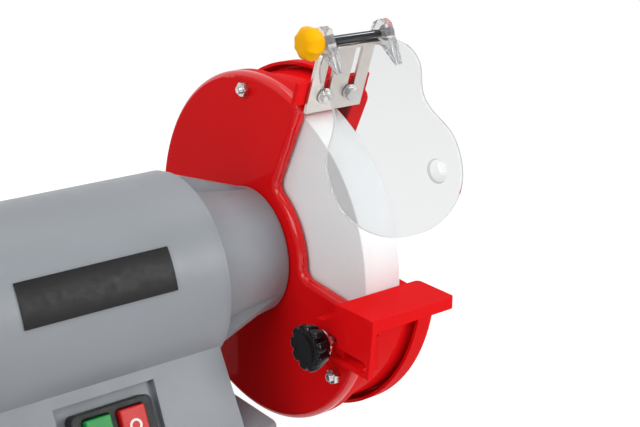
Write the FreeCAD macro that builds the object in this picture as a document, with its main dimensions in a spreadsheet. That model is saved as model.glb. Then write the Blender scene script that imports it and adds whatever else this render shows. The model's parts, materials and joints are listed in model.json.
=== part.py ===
import FreeCAD, Part
import math
import os
import Sketcher
from FreeCAD import Placement, Rotation, Vector

# Double-ended bench grinder, millimetres. The spindle runs along X, the operator stands at -Y,
# +Z is up. The origin is the middle of the bench bolt pattern, on the underside of the foot.

doc = FreeCAD.newDocument("bench_grinder")
sizes = doc.addObject("Spreadsheet::Sheet", "sizes")

SIZES = [
    ("spindle_height", 150.0, "spindle axis above the bench"),
    ("running_gap", 0.3, "gap between pieces that move past each other"),
    ("bearing_fit", 0.05, "radial play of a shaft in its hole"),
    ("barrel_length", 150.0, "motor barrel, end to end"),
    ("barrel_radius", 58.5, "motor barrel, outside"),
    ("barrel_wall", 7.0, "motor barrel casting"),
    ("bell_length", 57.5, "barrel end to guard wall"),
    ("bell_root_step", 4.5, "end bell beside the barrel, inside the barrel bore"),
    ("bell_end_radius", 39.0, "end bell beside the guard"),
    ("bell_round", 3.0, "rounding of the bell's outer rim"),
    ("bell_wall", 4.0, "end bell casting"),
    ("bell_end_wall", 6.0, "end wall of the bell"),
    ("bell_bore_radius", 14.0, "shaft opening in the end wall"),
    ("bell_flange_step", 1.0, "bell flange inside the barrel's edge"),
    ("bell_flange_thickness", 3.0, "thickness of that flange"),
    ("bell_spigot_length", 4.0, "spigot that centres the bell in the barrel"),
    ("rib_thickness", 5.0, "gusset ribs of the bell"),
    ("rib_count", 3.0, "gusset ribs on each bell"),
    ("bell_screw_inset", 3.2, "bell screws outside the barrel bore"),
    ("bell_screw_radius", 2.0, "shank of the bell screws"),
    ("bell_screw_length", 12.0, "shank length of the bell screws"),
    ("bell_screw_head_radius", 3.4, "head of the bell screws"),
    ("bell_screw_head_height", 3.0, "head of the bell screws"),
    ("bearing_bore_radius", 10.0, "bearing bore"),
    ("bearing_outer_radius", 23.5, "bearing outside"),
    ("bearing_width", 14.0, "bearing width"),
    ("bearing_ring", 3.6, "ring thickness of the bearing"),
    ("bearing_boss_wall", 4.0, "wall of the bearing boss in the bell"),
    ("ball_count", 8.0, "balls in each bearing"),
    ("wave_washer_thickness", 1.0, "preload washer behind the left bearing"),
    ("shaft_core_radius", 12.5, "spindle inside the rotor"),
    ("shaft_wheel_radius", 8.0, "spindle under the wheels"),
    ("shaft_past_nut", 3.0, "spindle end beyond the wheel nut"),
    ("stator_bore_radius", 31.0, "stator bore"),
    ("stator_length", 70.0, "stator and rotor stack"),
    ("stator_slot_count", 24.0, "stator slots"),
    ("stator_slot_depth", 12.0, "stator slot depth"),
    ("stator_slot_width", 4.0, "stator slot width"),
    ("air_gap", 0.5, "rotor to stator"),
    ("winding_length", 22.0, "end turns beyond the stack"),
    ("winding_thickness", 11.0, "end turns, radially"),
    ("wheel_diameter", 200.0, "grinding wheel"),
    ("wheel_width", 25.0, "grinding wheel"),
    ("wheel_offset", 7.5, "guard wall to wheel face"),
    ("wheel_edge", 0.8, "chamfer of the wheel's edges"),
    ("blotter_radius", 36.0, "paper blotter"),
    ("blotter_thickness", 0.5, "paper blotter"),
    ("flange_radius", 35.0, "wheel flanges"),
    ("inner_flange_thickness", 2.4, "inner wheel flange"),
    ("inner_flange_hub_radius", 12.0, "hub of the inner flange"),
    ("inner_flange_hub_length", 5.5, "hub of the inner flange"),
    ("outer_flange_thickness", 4.0, "outer wheel flange"),
    ("flange_relief", 1.0, "hollow of the outer flange"),
    ("wheel_nut_across", 24.0, "wheel nut across flats"),
    ("wheel_nut_height", 8.0, "wheel nut"),
    ("guard_lip", 0.2, "flat of the inner guard wall between drum and rolled edge"),
    ("guard_sheet", 2.5, "inner guard wall sheet"),
    ("guard_depth", 5.5, "depth of the dished inner wall"),
    ("guard_roll", 4.3, "rolled edge of the guard dishes"),
    ("guard_corner", 6.0, "corners of the guard opening"),
    ("guard_hub_hole", 18.0, "spindle opening in the inner wall"),
    ("opening_hub_radius", 48.5, "guard opening around the hub"),
    ("opening_top_angle", 64.0, "upper edge of the opening above the horizontal"),
    ("opening_bottom_angle", 5.0, "lower edge of the opening below the horizontal"),
    ("drum_clearance", 2.5, "wheel to the inside of the drum"),
    ("drum_set_back", 3.0, "upper end of the drum behind the opening, degrees"),
    ("drum_sheet", 2.0, "guard drum sheet"),
    ("drum_lip_width", 6.0, "raised lip of the drum beside the inner wall"),
    ("cover_lip", 1.2, "flat of the outer cover between drum and rolled edge"),
    ("cover_sheet", 2.0, "outer guard cover sheet"),
    ("cover_depth", 13.0, "depth of the outer cover"),
    ("cover_gap", 20.5, "wheel face to the outside of the cover"),
    ("lug_radius", 5.0, "fastening lugs in the drum"),
    ("inner_lug_thickness", 2.0, "lugs beside the inner wall"),
    ("outer_lug_thickness", 4.0, "lugs beside the cover"),
    ("lug_angle_top", 87.0, "lug near the top"),
    ("lug_angle_front", 213.0, "lug below the tool rest"),
    ("lug_angle_rear", 333.0, "lug at the rear"),
    ("wall_bolt_radius", 2.5, "wall bolt shank"),
    ("wall_bolt_head_radius", 3.2, "wall bolt head inside the drum"),
    ("wall_bolt_head_height", 2.0, "wall bolt head inside the drum"),
    ("wall_nut_across", 8.0, "wall bolt nut across flats"),
    ("wall_nut_height", 4.2, "wall bolt nut"),
    ("wall_bolt_past_nut", 2.3, "wall bolt end beyond its nut"),
    ("guard_screw_circle", 29.0, "screws that hold the guard to the bell"),
    ("guard_screw_radius", 2.5, "shank of those screws"),
    ("guard_screw_length", 6.0, "thread of those screws in the bell"),
    ("guard_screw_head_radius", 4.5, "flat head of those screws"),
    ("guard_screw_head_height", 1.4, "flat head of those screws"),
    ("cover_screw_radius", 2.0, "cover screws"),
    ("cover_screw_head_radius", 4.0, "cover screw heads"),
    ("cover_screw_head_height", 2.4, "cover screw heads"),
    ("bracket_out", 1.5, "lower edge of the shield bracket beyond the drum"),
    ("bracket_ahead", 1.53, "lower edge of the bracket before the opening's edge, degrees"),
    ("bracket_lean", 19.3, "forward lean of the shield bracket"),
    ("bracket_centre", 15.1, "bracket centre beyond the wheel's inner face"),
    ("bracket_width", 39.2, "shield bracket"),
    ("bracket_height", 41.5, "shield bracket up to its shelf"),
    ("bracket_sheet", 2.0, "shield bracket sheet"),
    ("bracket_shelf", 6.0, "shelf under the shield rod"),
    ("bracket_notch_low", 35.0, "clip notch above the bracket's edge"),
    ("slot_spacing", 17.4, "slots of the shield bracket"),
    ("slot_width", 4.8, "slots of the shield bracket"),
    ("slot_low", 5.5, "lower end of the slots above the bracket's edge"),
    ("slot_high", 40.0, "upper end of the slots above the bracket's edge"),
    ("bracket_bolt_up", 10.6, "bracket bolts above the bracket's edge"),
    ("bracket_bolt_radius", 2.0, "bracket bolt shank"),
    ("bracket_bolt_across", 7.0, "bracket bolt head across flats"),
    ("bracket_bolt_head", 2.8, "bracket bolt head"),
    ("bracket_nut_height", 3.2, "bracket bolt nuts"),
    ("bracket_washer_radius", 5.0, "washers under the bracket bolts"),
    ("bracket_washer_thickness", 1.0, "washers under the bracket bolts"),
    ("seat_width", 50.5, "seat of the shield bracket"),
    ("seat_centre", 13.2, "seat centre beyond the wheel's inner face"),
    ("seat_low", 5.0, "lower end of the seat above the bracket's edge"),
    ("seat_high", 19.0, "upper end of the seat above the bracket's edge"),
    ("seat_sheet", 3.0, "seat plate"),
    ("seat_foot", 34.0, "seat foot between wall and cover"),
    ("rod_radius", 2.5, "shield rod"),
    ("rod_up", 46.05, "shield rod above the bracket's edge"),
    ("rod_head_radius", 4.5, "head of the shield rod"),
    ("rod_head_length", 2.6, "head of the shield rod"),
    ("clip_spacing", 42.0, "shield clips, centre to centre"),
    ("clip_width", 6.0, "shield clips along the rod"),
    ("clip_radius", 7.5, "ear of a clip around the rod"),
    ("clip_tail", 20.0, "tail of a clip along the pane"),
    ("shield_centre", 17.5, "shield centre beyond the wheel's inner face"),
    ("shield_tilt", 25.0, "shield pane from the vertical"),
    ("shield_ahead", 6.6, "rod axis to the back of the pane"),
    ("shield_sheet", 1.8, "shield pane"),
    ("pane_top", 4.0, "upper edge of the pane below the rod"),
    ("pane_shoulder", 36.0, "half width of the pane's upper lobe"),
    ("pane_waist", 32.0, "half width of the pane's waist"),
    ("pane_belly", 47.0, "half width of the pane's lower lobe"),
    ("pane_bottom", 114.0, "lower edge of the pane below the rod"),
    ("grip_radius", 7.2, "round grip on the pane"),
    ("grip_height", 5.0, "round grip on the pane"),
    ("grip_across", 26.4, "grip beside the pane's centre"),
    ("grip_down", 82.8, "grip below the rod"),
    ("clamp_knob_radius", 9.6, "clamp knob of the shield"),
    ("clamp_knob_length", 12.5, "clamp knob of the shield"),
    ("clamp_knob_flutes", 8.0, "flutes of the clamp knob"),
    ("clamp_knob_valley", 1.1, "flutes of the clamp knob, depth"),
    ("clamp_knob_scoop", 4.0, "flutes of the clamp knob, radius"),
    ("clamp_knob_depth", 9.0, "thread of the rod in the clamp knob"),
    ("rest_left", 22.6, "side plate before the wheel's inner face"),
    ("rest_length", 59.4, "tool rest table"),
    ("rest_depth", 30.6, "tool rest table"),
    ("rest_thickness", 7.0, "tool rest table"),
    ("rest_gap", 2.0, "tool rest to wheel"),
    ("rest_corner", 3.0, "outer corners of the table"),
    ("rest_above", 1.0, "tool rest top above the spindle"),
    ("rest_plate", 3.0, "side plate of the tool rest"),
    ("rest_plate_height", 35.4, "side plate of the tool rest"),
    ("rest_plate_tail", 26.0, "side plate behind the table"),
    ("rest_plate_lean", 3.0, "side plate's front edge set back at its foot"),
    ("rest_slot_play", 0.7, "side plate's slot around the stud"),
    ("rest_slot_ahead", 2.2, "side plate's slot ahead of the stud"),
    ("rest_slot_back", 5.0, "slot end before the plate's tail"),
    ("guide_slot_height", 7.0, "lower slot of the side plate"),
    ("guide_slot_rail", 2.4, "side plate below its lower slot"),
    ("guide_slot_front", 5.0, "lower slot's end behind the table's front"),
    ("stud_behind", 4.7, "knob stud behind the table's back edge"),
    ("stud_below", 22.3, "knob stud below the spindle"),
    ("stud_radius", 2.5, "knob stud"),
    ("stud_depth", 9.0, "knob stud in the rest mount"),
    ("rest_washer_radius", 7.6, "washer of the knob stud"),
    ("rest_washer_thickness", 1.0, "washer of the knob stud"),
    ("rest_knob_radius", 13.6, "star knob over its lobes"),
    ("rest_knob_thickness", 10.0, "star knob head"),
    ("rest_knob_edge", 1.2, "bevel of the star knob's head"),
    ("rest_knob_taper", 1.5, "star knob's head smaller at its back"),
    ("rest_knob_lobes", 9.0, "star knob lobes"),
    ("rest_knob_valley", 1.8, "star knob valleys, depth"),
    ("rest_knob_scoop", 2.7, "star knob valleys, radius"),
    ("rest_hub_radius", 7.0, "star knob hub"),
    ("rest_hub_length", 2.4, "star knob hub"),
    ("stud_shown", 5.5, "stud between washer and side plate"),
    ("mount_front", 23.0, "rest mount in front of the stud"),
    ("mount_back", 17.5, "rest mount behind the stud"),
    ("mount_up", 7.0, "rest mount above the stud"),
    ("mount_down", 13.5, "rest mount below the stud"),
    ("mount_recess", 8.0, "rest mount's recess behind the side plate's lower slot"),
    ("mount_recess_ahead", 6.0, "rest mount's recess ahead of the stud"),
    ("column_top_below", 31.9, "column shoulder below the spindle"),
    ("column_wall", 6.0, "column and foot casting"),
    ("foot_height", 72.0, "top of the foot box above the bench"),
    ("foot_overhang", 25.0, "foot box beyond the barrel ends"),
    ("foot_side_step", 22.1, "foot box beyond the column's sides"),
    ("foot_step", 5.35, "foot box beyond the column's front"),
    ("foot_corner", 9.0, "upright corners of the foot box"),
    ("foot_edge", 3.0, "top edge of the foot box"),
    ("foot_ear_reach", 12.0, "bolting flange beyond the bench bolts"),
    ("foot_ear_thickness", 11.0, "bolting flange"),
    ("bench_bolt_radius", 4.5, "bench bolt holes"),
    ("bench_bolt_inset", 20.0, "bench bolt holes from the foot's ends"),
    ("bench_bolt_ahead", 170.0, "bench bolt holes front to back"),
    ("bench_bolt_out", 10.0, "bench bolt holes beyond the foot box"),
    ("recess_half_width", 30.0, "switch recess at the column shoulder"),
    ("recess_depth", 5.0, "switch recess"),
    ("recess_top", 6.0, "switch recess below the column shoulder"),
    ("switch_width", 48.0, "switch housing"),
    ("switch_height", 28.0, "switch housing along the slope"),
    ("switch_thickness", 9.0, "switch housing"),
    ("switch_corner", 4.0, "switch housing corners"),
    ("switch_floor", 0.5, "floor of the button wells"),
    ("button_width", 15.0, "switch buttons"),
    ("button_height", 20.0, "switch buttons"),
    ("button_spacing", 20.0, "switch buttons, centre to centre"),
    ("button_proud", 3.5, "switch buttons above the housing"),
    ("button_travel", 2.5, "switch button travel"),
    ("gland_radius", 9.0, "cable gland body"),
    ("gland_across", 22.0, "cable gland hex"),
    ("gland_hex", 6.0, "cable gland hex"),
    ("gland_cap", 12.0, "cable gland cap"),
    ("gland_bore", 4.0, "cable gland bore"),
    ("gland_height", 34.0, "cable gland above the bench"),
    ("gland_across_foot", 40.0, "cable gland beside the middle of the rear wall"),
    ("bottom_plate_thickness", 2.0, "bottom plate"),
    ("bottom_plate_inset", 3.5, "bottom plate above the bench"),
    ("post_radius", 6.0, "posts for the bottom plate"),
    ("post_inset", 9.0, "posts from the inside of the foot walls"),
    ("bottom_screw_radius", 2.0, "bottom plate screws"),
    ("bottom_screw_head_radius", 3.6, "bottom plate screw heads"),
    ("bottom_screw_length", 14.0, "bottom plate screws"),
    ("bottom_screw_head_height", 2.4, "bottom plate screw heads"),
    ("capacitor_radius", 17.5, "run capacitor"),
    ("capacitor_length", 70.0, "run capacitor"),
    ("terminal_length", 46.0, "terminal block"),
    ("terminal_width", 20.0, "terminal block"),
    ("terminal_height", 16.0, "terminal block"),
    ("cable_hole_radius", 11.0, "wire opening between barrel and column"),
    ("plate_length", 88.0, "blank plate on the barrel"),
    ("plate_height", 24.0, "blank plate on the barrel"),
    ("plate_thickness", 0.8, "blank plate on the barrel"),
    ("plate_angle", 24.5, "blank plate above the horizontal"),
]

for row, (alias, value, note) in enumerate(SIZES, start=1):
    sizes.set(f"A{row}", note)
    sizes.set(f"B{row}", str(value))
    sizes.setAlias(f"B{row}", alias)
doc.recompute()

SPINDLE = "sizes.spindle_height"
BARREL_END = "(sizes.barrel_length / 2)"
BARREL_BORE = "(sizes.barrel_radius - sizes.barrel_wall)"
WALL_X = f"({BARREL_END} + sizes.bell_length)"
WHEEL_X = f"({WALL_X} + sizes.wheel_offset)"
WHEEL_OUT_X = f"({WHEEL_X} + sizes.wheel_width)"
WHEEL_RADIUS = "(sizes.wheel_diameter / 2)"
DRUM_INSIDE = f"({WHEEL_RADIUS} + sizes.drum_clearance)"
DRUM_RADIUS = f"({DRUM_INSIDE} + sizes.drum_sheet)"
GUARD_RADIUS = f"({DRUM_RADIUS} + sizes.guard_lip + sizes.guard_roll)"
COVER_RADIUS = f"({DRUM_RADIUS} + sizes.cover_lip + sizes.guard_roll)"
LUG_CIRCLE = f"({DRUM_INSIDE} - sizes.wall_bolt_head_radius - sizes.running_gap)"
BELL_ROOT = f"({BARREL_BORE} - sizes.bell_root_step)"
BELL_FLANGE = "(sizes.barrel_radius - sizes.bell_flange_step)"
BELL_SCREW_CIRCLE = f"({BARREL_BORE} + sizes.bell_screw_inset)"
COVER_X = f"({WHEEL_OUT_X} + sizes.cover_gap)"
COVER_INSIDE_X = f"({COVER_X} - sizes.cover_sheet)"
WALL_INSIDE_X = f"({WALL_X} + sizes.guard_sheet)"
BEARING_STOP_X = f"({WALL_X} - sizes.bell_end_wall)"
FLANGE_X = f"({WHEEL_X} - sizes.blotter_thickness - sizes.inner_flange_thickness)"
SHOULDER_X = f"({FLANGE_X} - sizes.inner_flange_hub_length)"
OUTER_FLANGE_X = f"({WHEEL_OUT_X} + sizes.blotter_thickness)"
NUT_X = f"({OUTER_FLANGE_X} + sizes.outer_flange_thickness)"
NUT_OUT_X = f"({NUT_X} + sizes.wheel_nut_height)"
SHAFT_END_X = f"({NUT_OUT_X} + sizes.shaft_past_nut)"
BRACKET_R = f"({DRUM_RADIUS} + sizes.bracket_out)"
BRACKET_ANGLE = "(sizes.opening_top_angle - sizes.bracket_ahead)"
BRACKET_Y = f"-({BRACKET_R} * cos({BRACKET_ANGLE}))"
BRACKET_Z = f"({SPINDLE} + {BRACKET_R} * sin({BRACKET_ANGLE}))"
BRACKET_X = f"({WHEEL_X} + sizes.bracket_centre)"
ROD_Y = f"({BRACKET_Y} - sizes.rod_up * sin(sizes.bracket_lean))"
ROD_Z = f"({BRACKET_Z} + sizes.rod_up * cos(sizes.bracket_lean))"
BRACKET_TURN = "90 + sizes.bracket_lean"
SHIELD_TURN = "90 - sizes.shield_tilt"
DRUM_END_GAP = "(sizes.guard_roll + sizes.running_gap)"
DRUM_LOW = f"(sizes.opening_bottom_angle + {DRUM_END_GAP} / {DRUM_INSIDE} * 180 / pi)"
DRUM_TURN = f"90 + {DRUM_LOW}"
REST_X = f"({WHEEL_X} - sizes.rest_left)"
REST_BACK = f"({WHEEL_RADIUS} + sizes.rest_gap)"
REST_FRONT = f"({REST_BACK} + sizes.rest_depth)"
STUD_Y = f"(sizes.stud_behind - {REST_BACK})"
STUD_Z = f"({SPINDLE} - sizes.stud_below)"
MOUNT_X = f"({REST_X} + sizes.rest_plate + sizes.running_gap)"
HUB_X = f"({REST_X} - sizes.stud_shown - sizes.rest_washer_thickness)"
KNOB_X = f"({HUB_X} - sizes.rest_hub_length)"
SHIELD_X = f"({WHEEL_X} + sizes.shield_centre)"
CLIP_IN_X = f"({SHIELD_X} - sizes.clip_spacing / 2 - sizes.clip_width / 2)"
CLIP_OUT_X = f"({SHIELD_X} + sizes.clip_spacing / 2 + sizes.clip_width / 2)"
CLAMP_X = f"({CLIP_IN_X} - sizes.running_gap)"
COLUMN_TOP = f"({SPINDLE} - sizes.column_top_below)"
COLUMN_RISE = f"({COLUMN_TOP} - sizes.foot_height)"
COLUMN_TOP_HALF = "sqrt(sizes.barrel_radius ^ 2 - sizes.column_top_below ^ 2)"
FOOT_HALF_LENGTH = f"({BARREL_END} + sizes.foot_overhang)"
FOOT_HALF_DEPTH = "(sizes.bench_bolt_ahead / 2 - sizes.bench_bolt_out)"
COLUMN_FOOT_HALF = f"({FOOT_HALF_DEPTH} - sizes.foot_step)"
COLUMN_FOOT_SIDE = f"({FOOT_HALF_LENGTH} - sizes.foot_side_step)"
COLUMN_SLOPE = f"(({COLUMN_FOOT_HALF} - {COLUMN_TOP_HALF}) / {COLUMN_RISE})"
SWITCH_UP = f"(({COLUMN_RISE} - sizes.recess_top) / 2)"
LUG_ANGLES = ("sizes.lug_angle_top", "sizes.lug_angle_front", "sizes.lug_angle_rear")
SCREW_ANGLES = ("30", "150", "270")
BELL_SCREW_ANGLES = ("0", "50", "270")
SIDES = (("right", 1), ("left", -1))


def number(formula):
    """Value of a formula over the size sheet."""
    value = sizes.evalExpression(str(formula))
    return getattr(value, "Value", value)


def mirrored(side, formula):
    """A place along the spindle, on the right (1) or left (-1) end."""
    return formula if side > 0 else f"-({formula})"


def new_body(label, x="0", y="0", z="0", turn="0"):
    """Empty body at a place, turned about X by an angle in degrees."""
    body = doc.addObject("PartDesign::Body", label)
    body.Label = label
    body.Placement = Placement(Vector(), Rotation(Vector(1, 0, 0), number(turn)))
    body.setExpression("Placement.Rotation.Angle", turn)
    for axis, formula in (("x", x), ("y", y), ("z", z)):
        body.setExpression(f"Placement.Base.{axis}", formula)
    return body


def origin_feature(body, role):
    return next(feature for feature in body.Origin.OriginFeatures if feature.Role == role)


def sketch_on(body, role, name, offset="0"):
    """Sketch on an origin plane of the body, moved along the plane's normal."""
    sketch = body.newObject("Sketcher::SketchObject", f"{body.Name}_{name}")
    sketch.AttachmentSupport = [(origin_feature(body, role), "")]
    sketch.MapMode = "FlatFace"
    sketch.setExpression("AttachmentOffset.Base.z", offset)
    return sketch


def fix_point(sketch, curve, end, across, up):
    """Tie an end of a curve to a place given by two formulas."""
    for kind, formula in (("DistanceX", across), ("DistanceY", up)):
        rule = Sketcher.Constraint(kind, -1, 1, curve, end, number(formula))
        index = sketch.addConstraint(rule)
        sketch.setExpression(f"Constraints[{index}]", str(formula))


def fix_radius(sketch, curve, radius):
    index = sketch.addConstraint(Sketcher.Constraint("Radius", curve, number(radius)))
    sketch.setExpression(f"Constraints[{index}]", radius)


def outline(sketch, points):
    """Closed outline of straight lines through (across, up) formulas."""
    spots = [Vector(number(across), number(up), 0) for across, up in points]
    first = sketch.GeometryCount
    count = len(points)
    for i in range(count):
        sketch.addGeometry(Part.LineSegment(spots[i], spots[(i + 1) % count]))
    for i in range(count):
        joint = Sketcher.Constraint("Coincident", first + i, 2, first + (i + 1) % count, 1)
        sketch.addConstraint(joint)
    for i, (across, up) in enumerate(points):
        fix_point(sketch, first + i, 1, across, up)


def rectangle(sketch, left, right, low, high):
    outline(sketch, [(left, low), (right, low), (right, high), (left, high)])


def hexagon(sketch, across_flats):
    corner = f"({across_flats} / sqrt(3))"
    turns = [60 * i + 30 for i in range(6)]
    outline(sketch, [(f"{corner} * cos({turn})", f"{corner} * sin({turn})") for turn in turns])


def circle(sketch, across, up, radius):
    centre = Vector(number(across), number(up), 0)
    curve = sketch.addGeometry(Part.Circle(centre, Vector(0, 0, 1), number(radius)))
    fix_point(sketch, curve, 3, across, up)
    fix_radius(sketch, curve, radius)


def polar(circle_radius, angle):
    """Formulas of a point on a circle about the spindle, angle from +Y towards +Z."""
    return f"{circle_radius} * cos({angle})", f"{circle_radius} * sin({angle})"


def add_feature(body, kind, sketch, name):
    feature = body.newObject(f"PartDesign::{kind}", f"{sketch.Name}_{name}")
    feature.Profile = sketch
    sketch.Visibility = False
    return feature


def pad(body, sketch, length, backwards=False, both_ways=False):
    feature = add_feature(body, "Pad", sketch, "pad")
    feature.setExpression("Length", length)
    feature.Reversed = backwards
    if both_ways:
        feature.SideType = "Symmetric"
    return feature


def revolve(body, sketch, angle="360"):
    """Turn a sketch about its horizontal axis."""
    feature = add_feature(body, "Revolution", sketch, "turn")
    feature.ReferenceAxis = (sketch, ["H_Axis"])
    feature.setExpression("Angle", angle)
    return feature


def pocket(body, sketch, length=None, backwards=False):
    """Cut a sketch into the body, right through where no length is given."""
    doc.recompute()
    before = body.Shape.Volume
    feature = add_feature(body, "Pocket", sketch, "cut")
    feature.Reversed = backwards
    if length is None:
        feature.Type = "ThroughAll"
        feature.SideType = "Symmetric"
    else:
        feature.setExpression("Length", length)
    doc.recompute()
    if body.Shape.Volume >= before:
        raise RuntimeError(f"{feature.Name} cuts nothing")
    return feature


def around(body, feature, count):
    """Repeat a feature evenly about the body's X axis."""
    pattern = body.newObject("PartDesign::PolarPattern", f"{feature.Name}_round")
    pattern.Originals = [feature]
    pattern.Axis = (origin_feature(body, "X_Axis"), [""])
    pattern.Angle = 360
    pattern.setExpression("Occurrences", count)
    body.Tip = pattern
    doc.recompute()
    return pattern


def round_edges(body, radius, chosen, name):
    """Round the edges of the body's tip that a test picks."""
    doc.recompute()
    tip = body.Tip
    names = [f"Edge{i}" for i, edge in enumerate(tip.Shape.Edges, start=1) if chosen(edge)]
    feature = body.newObject("PartDesign::Fillet", f"{body.Name}_{name}")
    feature.Base = (tip, names)
    feature.setExpression("Radius", radius)
    doc.recompute()
    return feature


def turned(label, points, x="0", y="0", z=SPINDLE, angle="360", turn="0"):
    """Body turned about its own X axis from (along, radius) formulas."""
    body = new_body(label, x, y, z, turn)
    sketch = sketch_on(body, "XZ_Plane", "profile")
    outline(sketch, points)
    revolve(body, sketch, angle)
    return body


def ring(label, x_start, x_end, bore, radius, **place):
    return turned(label, [(x_start, bore), (x_end, bore), (x_end, radius), (x_start, radius)], **place)


def drill(body, name, centres, radius, start, length, backwards):
    """Round holes along X from a plane across the spindle."""
    sketch = sketch_on(body, "YZ_Plane", name, start)
    for across, up in centres:
        circle(sketch, across, up, radius)
    return pocket(body, sketch, length, backwards)


def along(x, y, z, direction):
    """Placement whose Z axis points along a direction."""
    return Placement(Vector(x, y, z), Rotation(Vector(0, 0, 1), direction))


def solid_bar(name, place, radius, start, length):
    bar = doc.addObject("Part::Cylinder", name)
    bar.setExpression("Radius", radius)
    bar.setExpression("Height", length)
    bar.Placement = place.multiply(Placement(Vector(0, 0, number(start)), Rotation()))
    return bar


def hex_bar(name, place, across_flats, start, length):
    bar = doc.addObject("Part::Prism", name)
    bar.Polygon = 6
    bar.setExpression("Circumradius", f"{across_flats} / sqrt(3)")
    bar.setExpression("Height", length)
    bar.Placement = place.multiply(Placement(Vector(0, 0, number(start)), Rotation()))
    return bar


def fused(name, pieces):
    whole = doc.addObject("Part::MultiFuse", name)
    whole.Shapes = pieces
    return whole


def cut(name, base, tool):
    rest = doc.addObject("Part::Cut", name)
    rest.Base = base
    rest.Tool = tool
    return rest


def group(label, pieces):
    """Like pieces that share a node, each its own solid."""
    whole = doc.addObject("Part::Compound", label)
    whole.Label = label
    whole.Links = pieces
    return whole


def bell_profile(side):
    """Half section of an end bell, from the flange round the outside to the spigot."""
    flange_x = f"({BARREL_END} + sizes.bell_flange_thickness)"
    boss_x = f"({BEARING_STOP_X} - sizes.bearing_width - sizes.wave_washer_thickness)"
    spigot_x = f"({BARREL_END} - sizes.bell_spigot_length)"
    seat = "sizes.bearing_outer_radius"
    boss = "(sizes.bearing_outer_radius + sizes.bearing_boss_wall)"
    root_inside = f"({BELL_ROOT} - sizes.bell_wall)"
    spigot = f"({BARREL_BORE} - sizes.bearing_fit)"
    spigot_inside = f"({spigot} - sizes.bell_wall)"
    points = [
        (BARREL_END, BELL_FLANGE), (flange_x, BELL_FLANGE), (flange_x, BELL_ROOT),
        (WALL_X, "sizes.bell_end_radius"), (WALL_X, "sizes.bell_bore_radius"),
        (BEARING_STOP_X, "sizes.bell_bore_radius"), (BEARING_STOP_X, seat), (boss_x, seat), (boss_x, boss),
        (BEARING_STOP_X, boss), (BEARING_STOP_X, "(sizes.bell_end_radius - sizes.bell_wall)"),
        (flange_x, root_inside), (BARREL_END, root_inside), (BARREL_END, spigot_inside),
        (spigot_x, spigot_inside), (spigot_x, spigot), (BARREL_END, spigot),
    ]
    return [(mirrored(side, x), radius) for x, radius in points]


def end_bell(label, side):
    body = turned(label, bell_profile(side))
    rim_x = side * number(WALL_X)
    rim_radius = number("sizes.bell_end_radius")

    def is_rim(edge):
        return abs(edge.BoundBox.XMin - rim_x) < 0.01 and abs(edge.BoundBox.ZMax - rim_radius) < 0.01

    round_edges(body, "sizes.bell_round", is_rim, "rim")
    rib_start = f"({BARREL_END} + sizes.bell_flange_thickness / 2)"
    rib_end = f"({WALL_X} - 2 * sizes.bell_round)"
    sketch = sketch_on(body, "XZ_Plane", "rib")
    points = [
        (rib_start, f"({BELL_ROOT} - sizes.bell_wall / 2)"), (rib_start, BELL_FLANGE),
        (rib_end, "(sizes.bell_end_radius + 1)"), (rib_end, "(sizes.bell_end_radius - sizes.bell_wall / 2)"),
    ]
    outline(sketch, [(mirrored(side, x), radius) for x, radius in points])
    around(body, pad(body, sketch, "sizes.rib_thickness", both_ways=True), "sizes.rib_count")
    flange_x = mirrored(side, f"({BARREL_END} + sizes.bell_flange_thickness)")
    screw_hole = "(sizes.bell_screw_radius + sizes.bearing_fit)"
    screw_centres = [polar(BELL_SCREW_CIRCLE, angle) for angle in BELL_SCREW_ANGLES]
    drill(body, "screw_holes", screw_centres, screw_hole, flange_x, "sizes.bell_flange_thickness", side < 0)
    guard_hole = "(sizes.guard_screw_radius + sizes.bearing_fit)"
    guard_centres = [polar("sizes.guard_screw_circle", angle) for angle in SCREW_ANGLES]
    drill(body, "guard_holes", guard_centres, guard_hole, mirrored(side, WALL_X), "sizes.guard_screw_length",
          side < 0)
    return body


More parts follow.
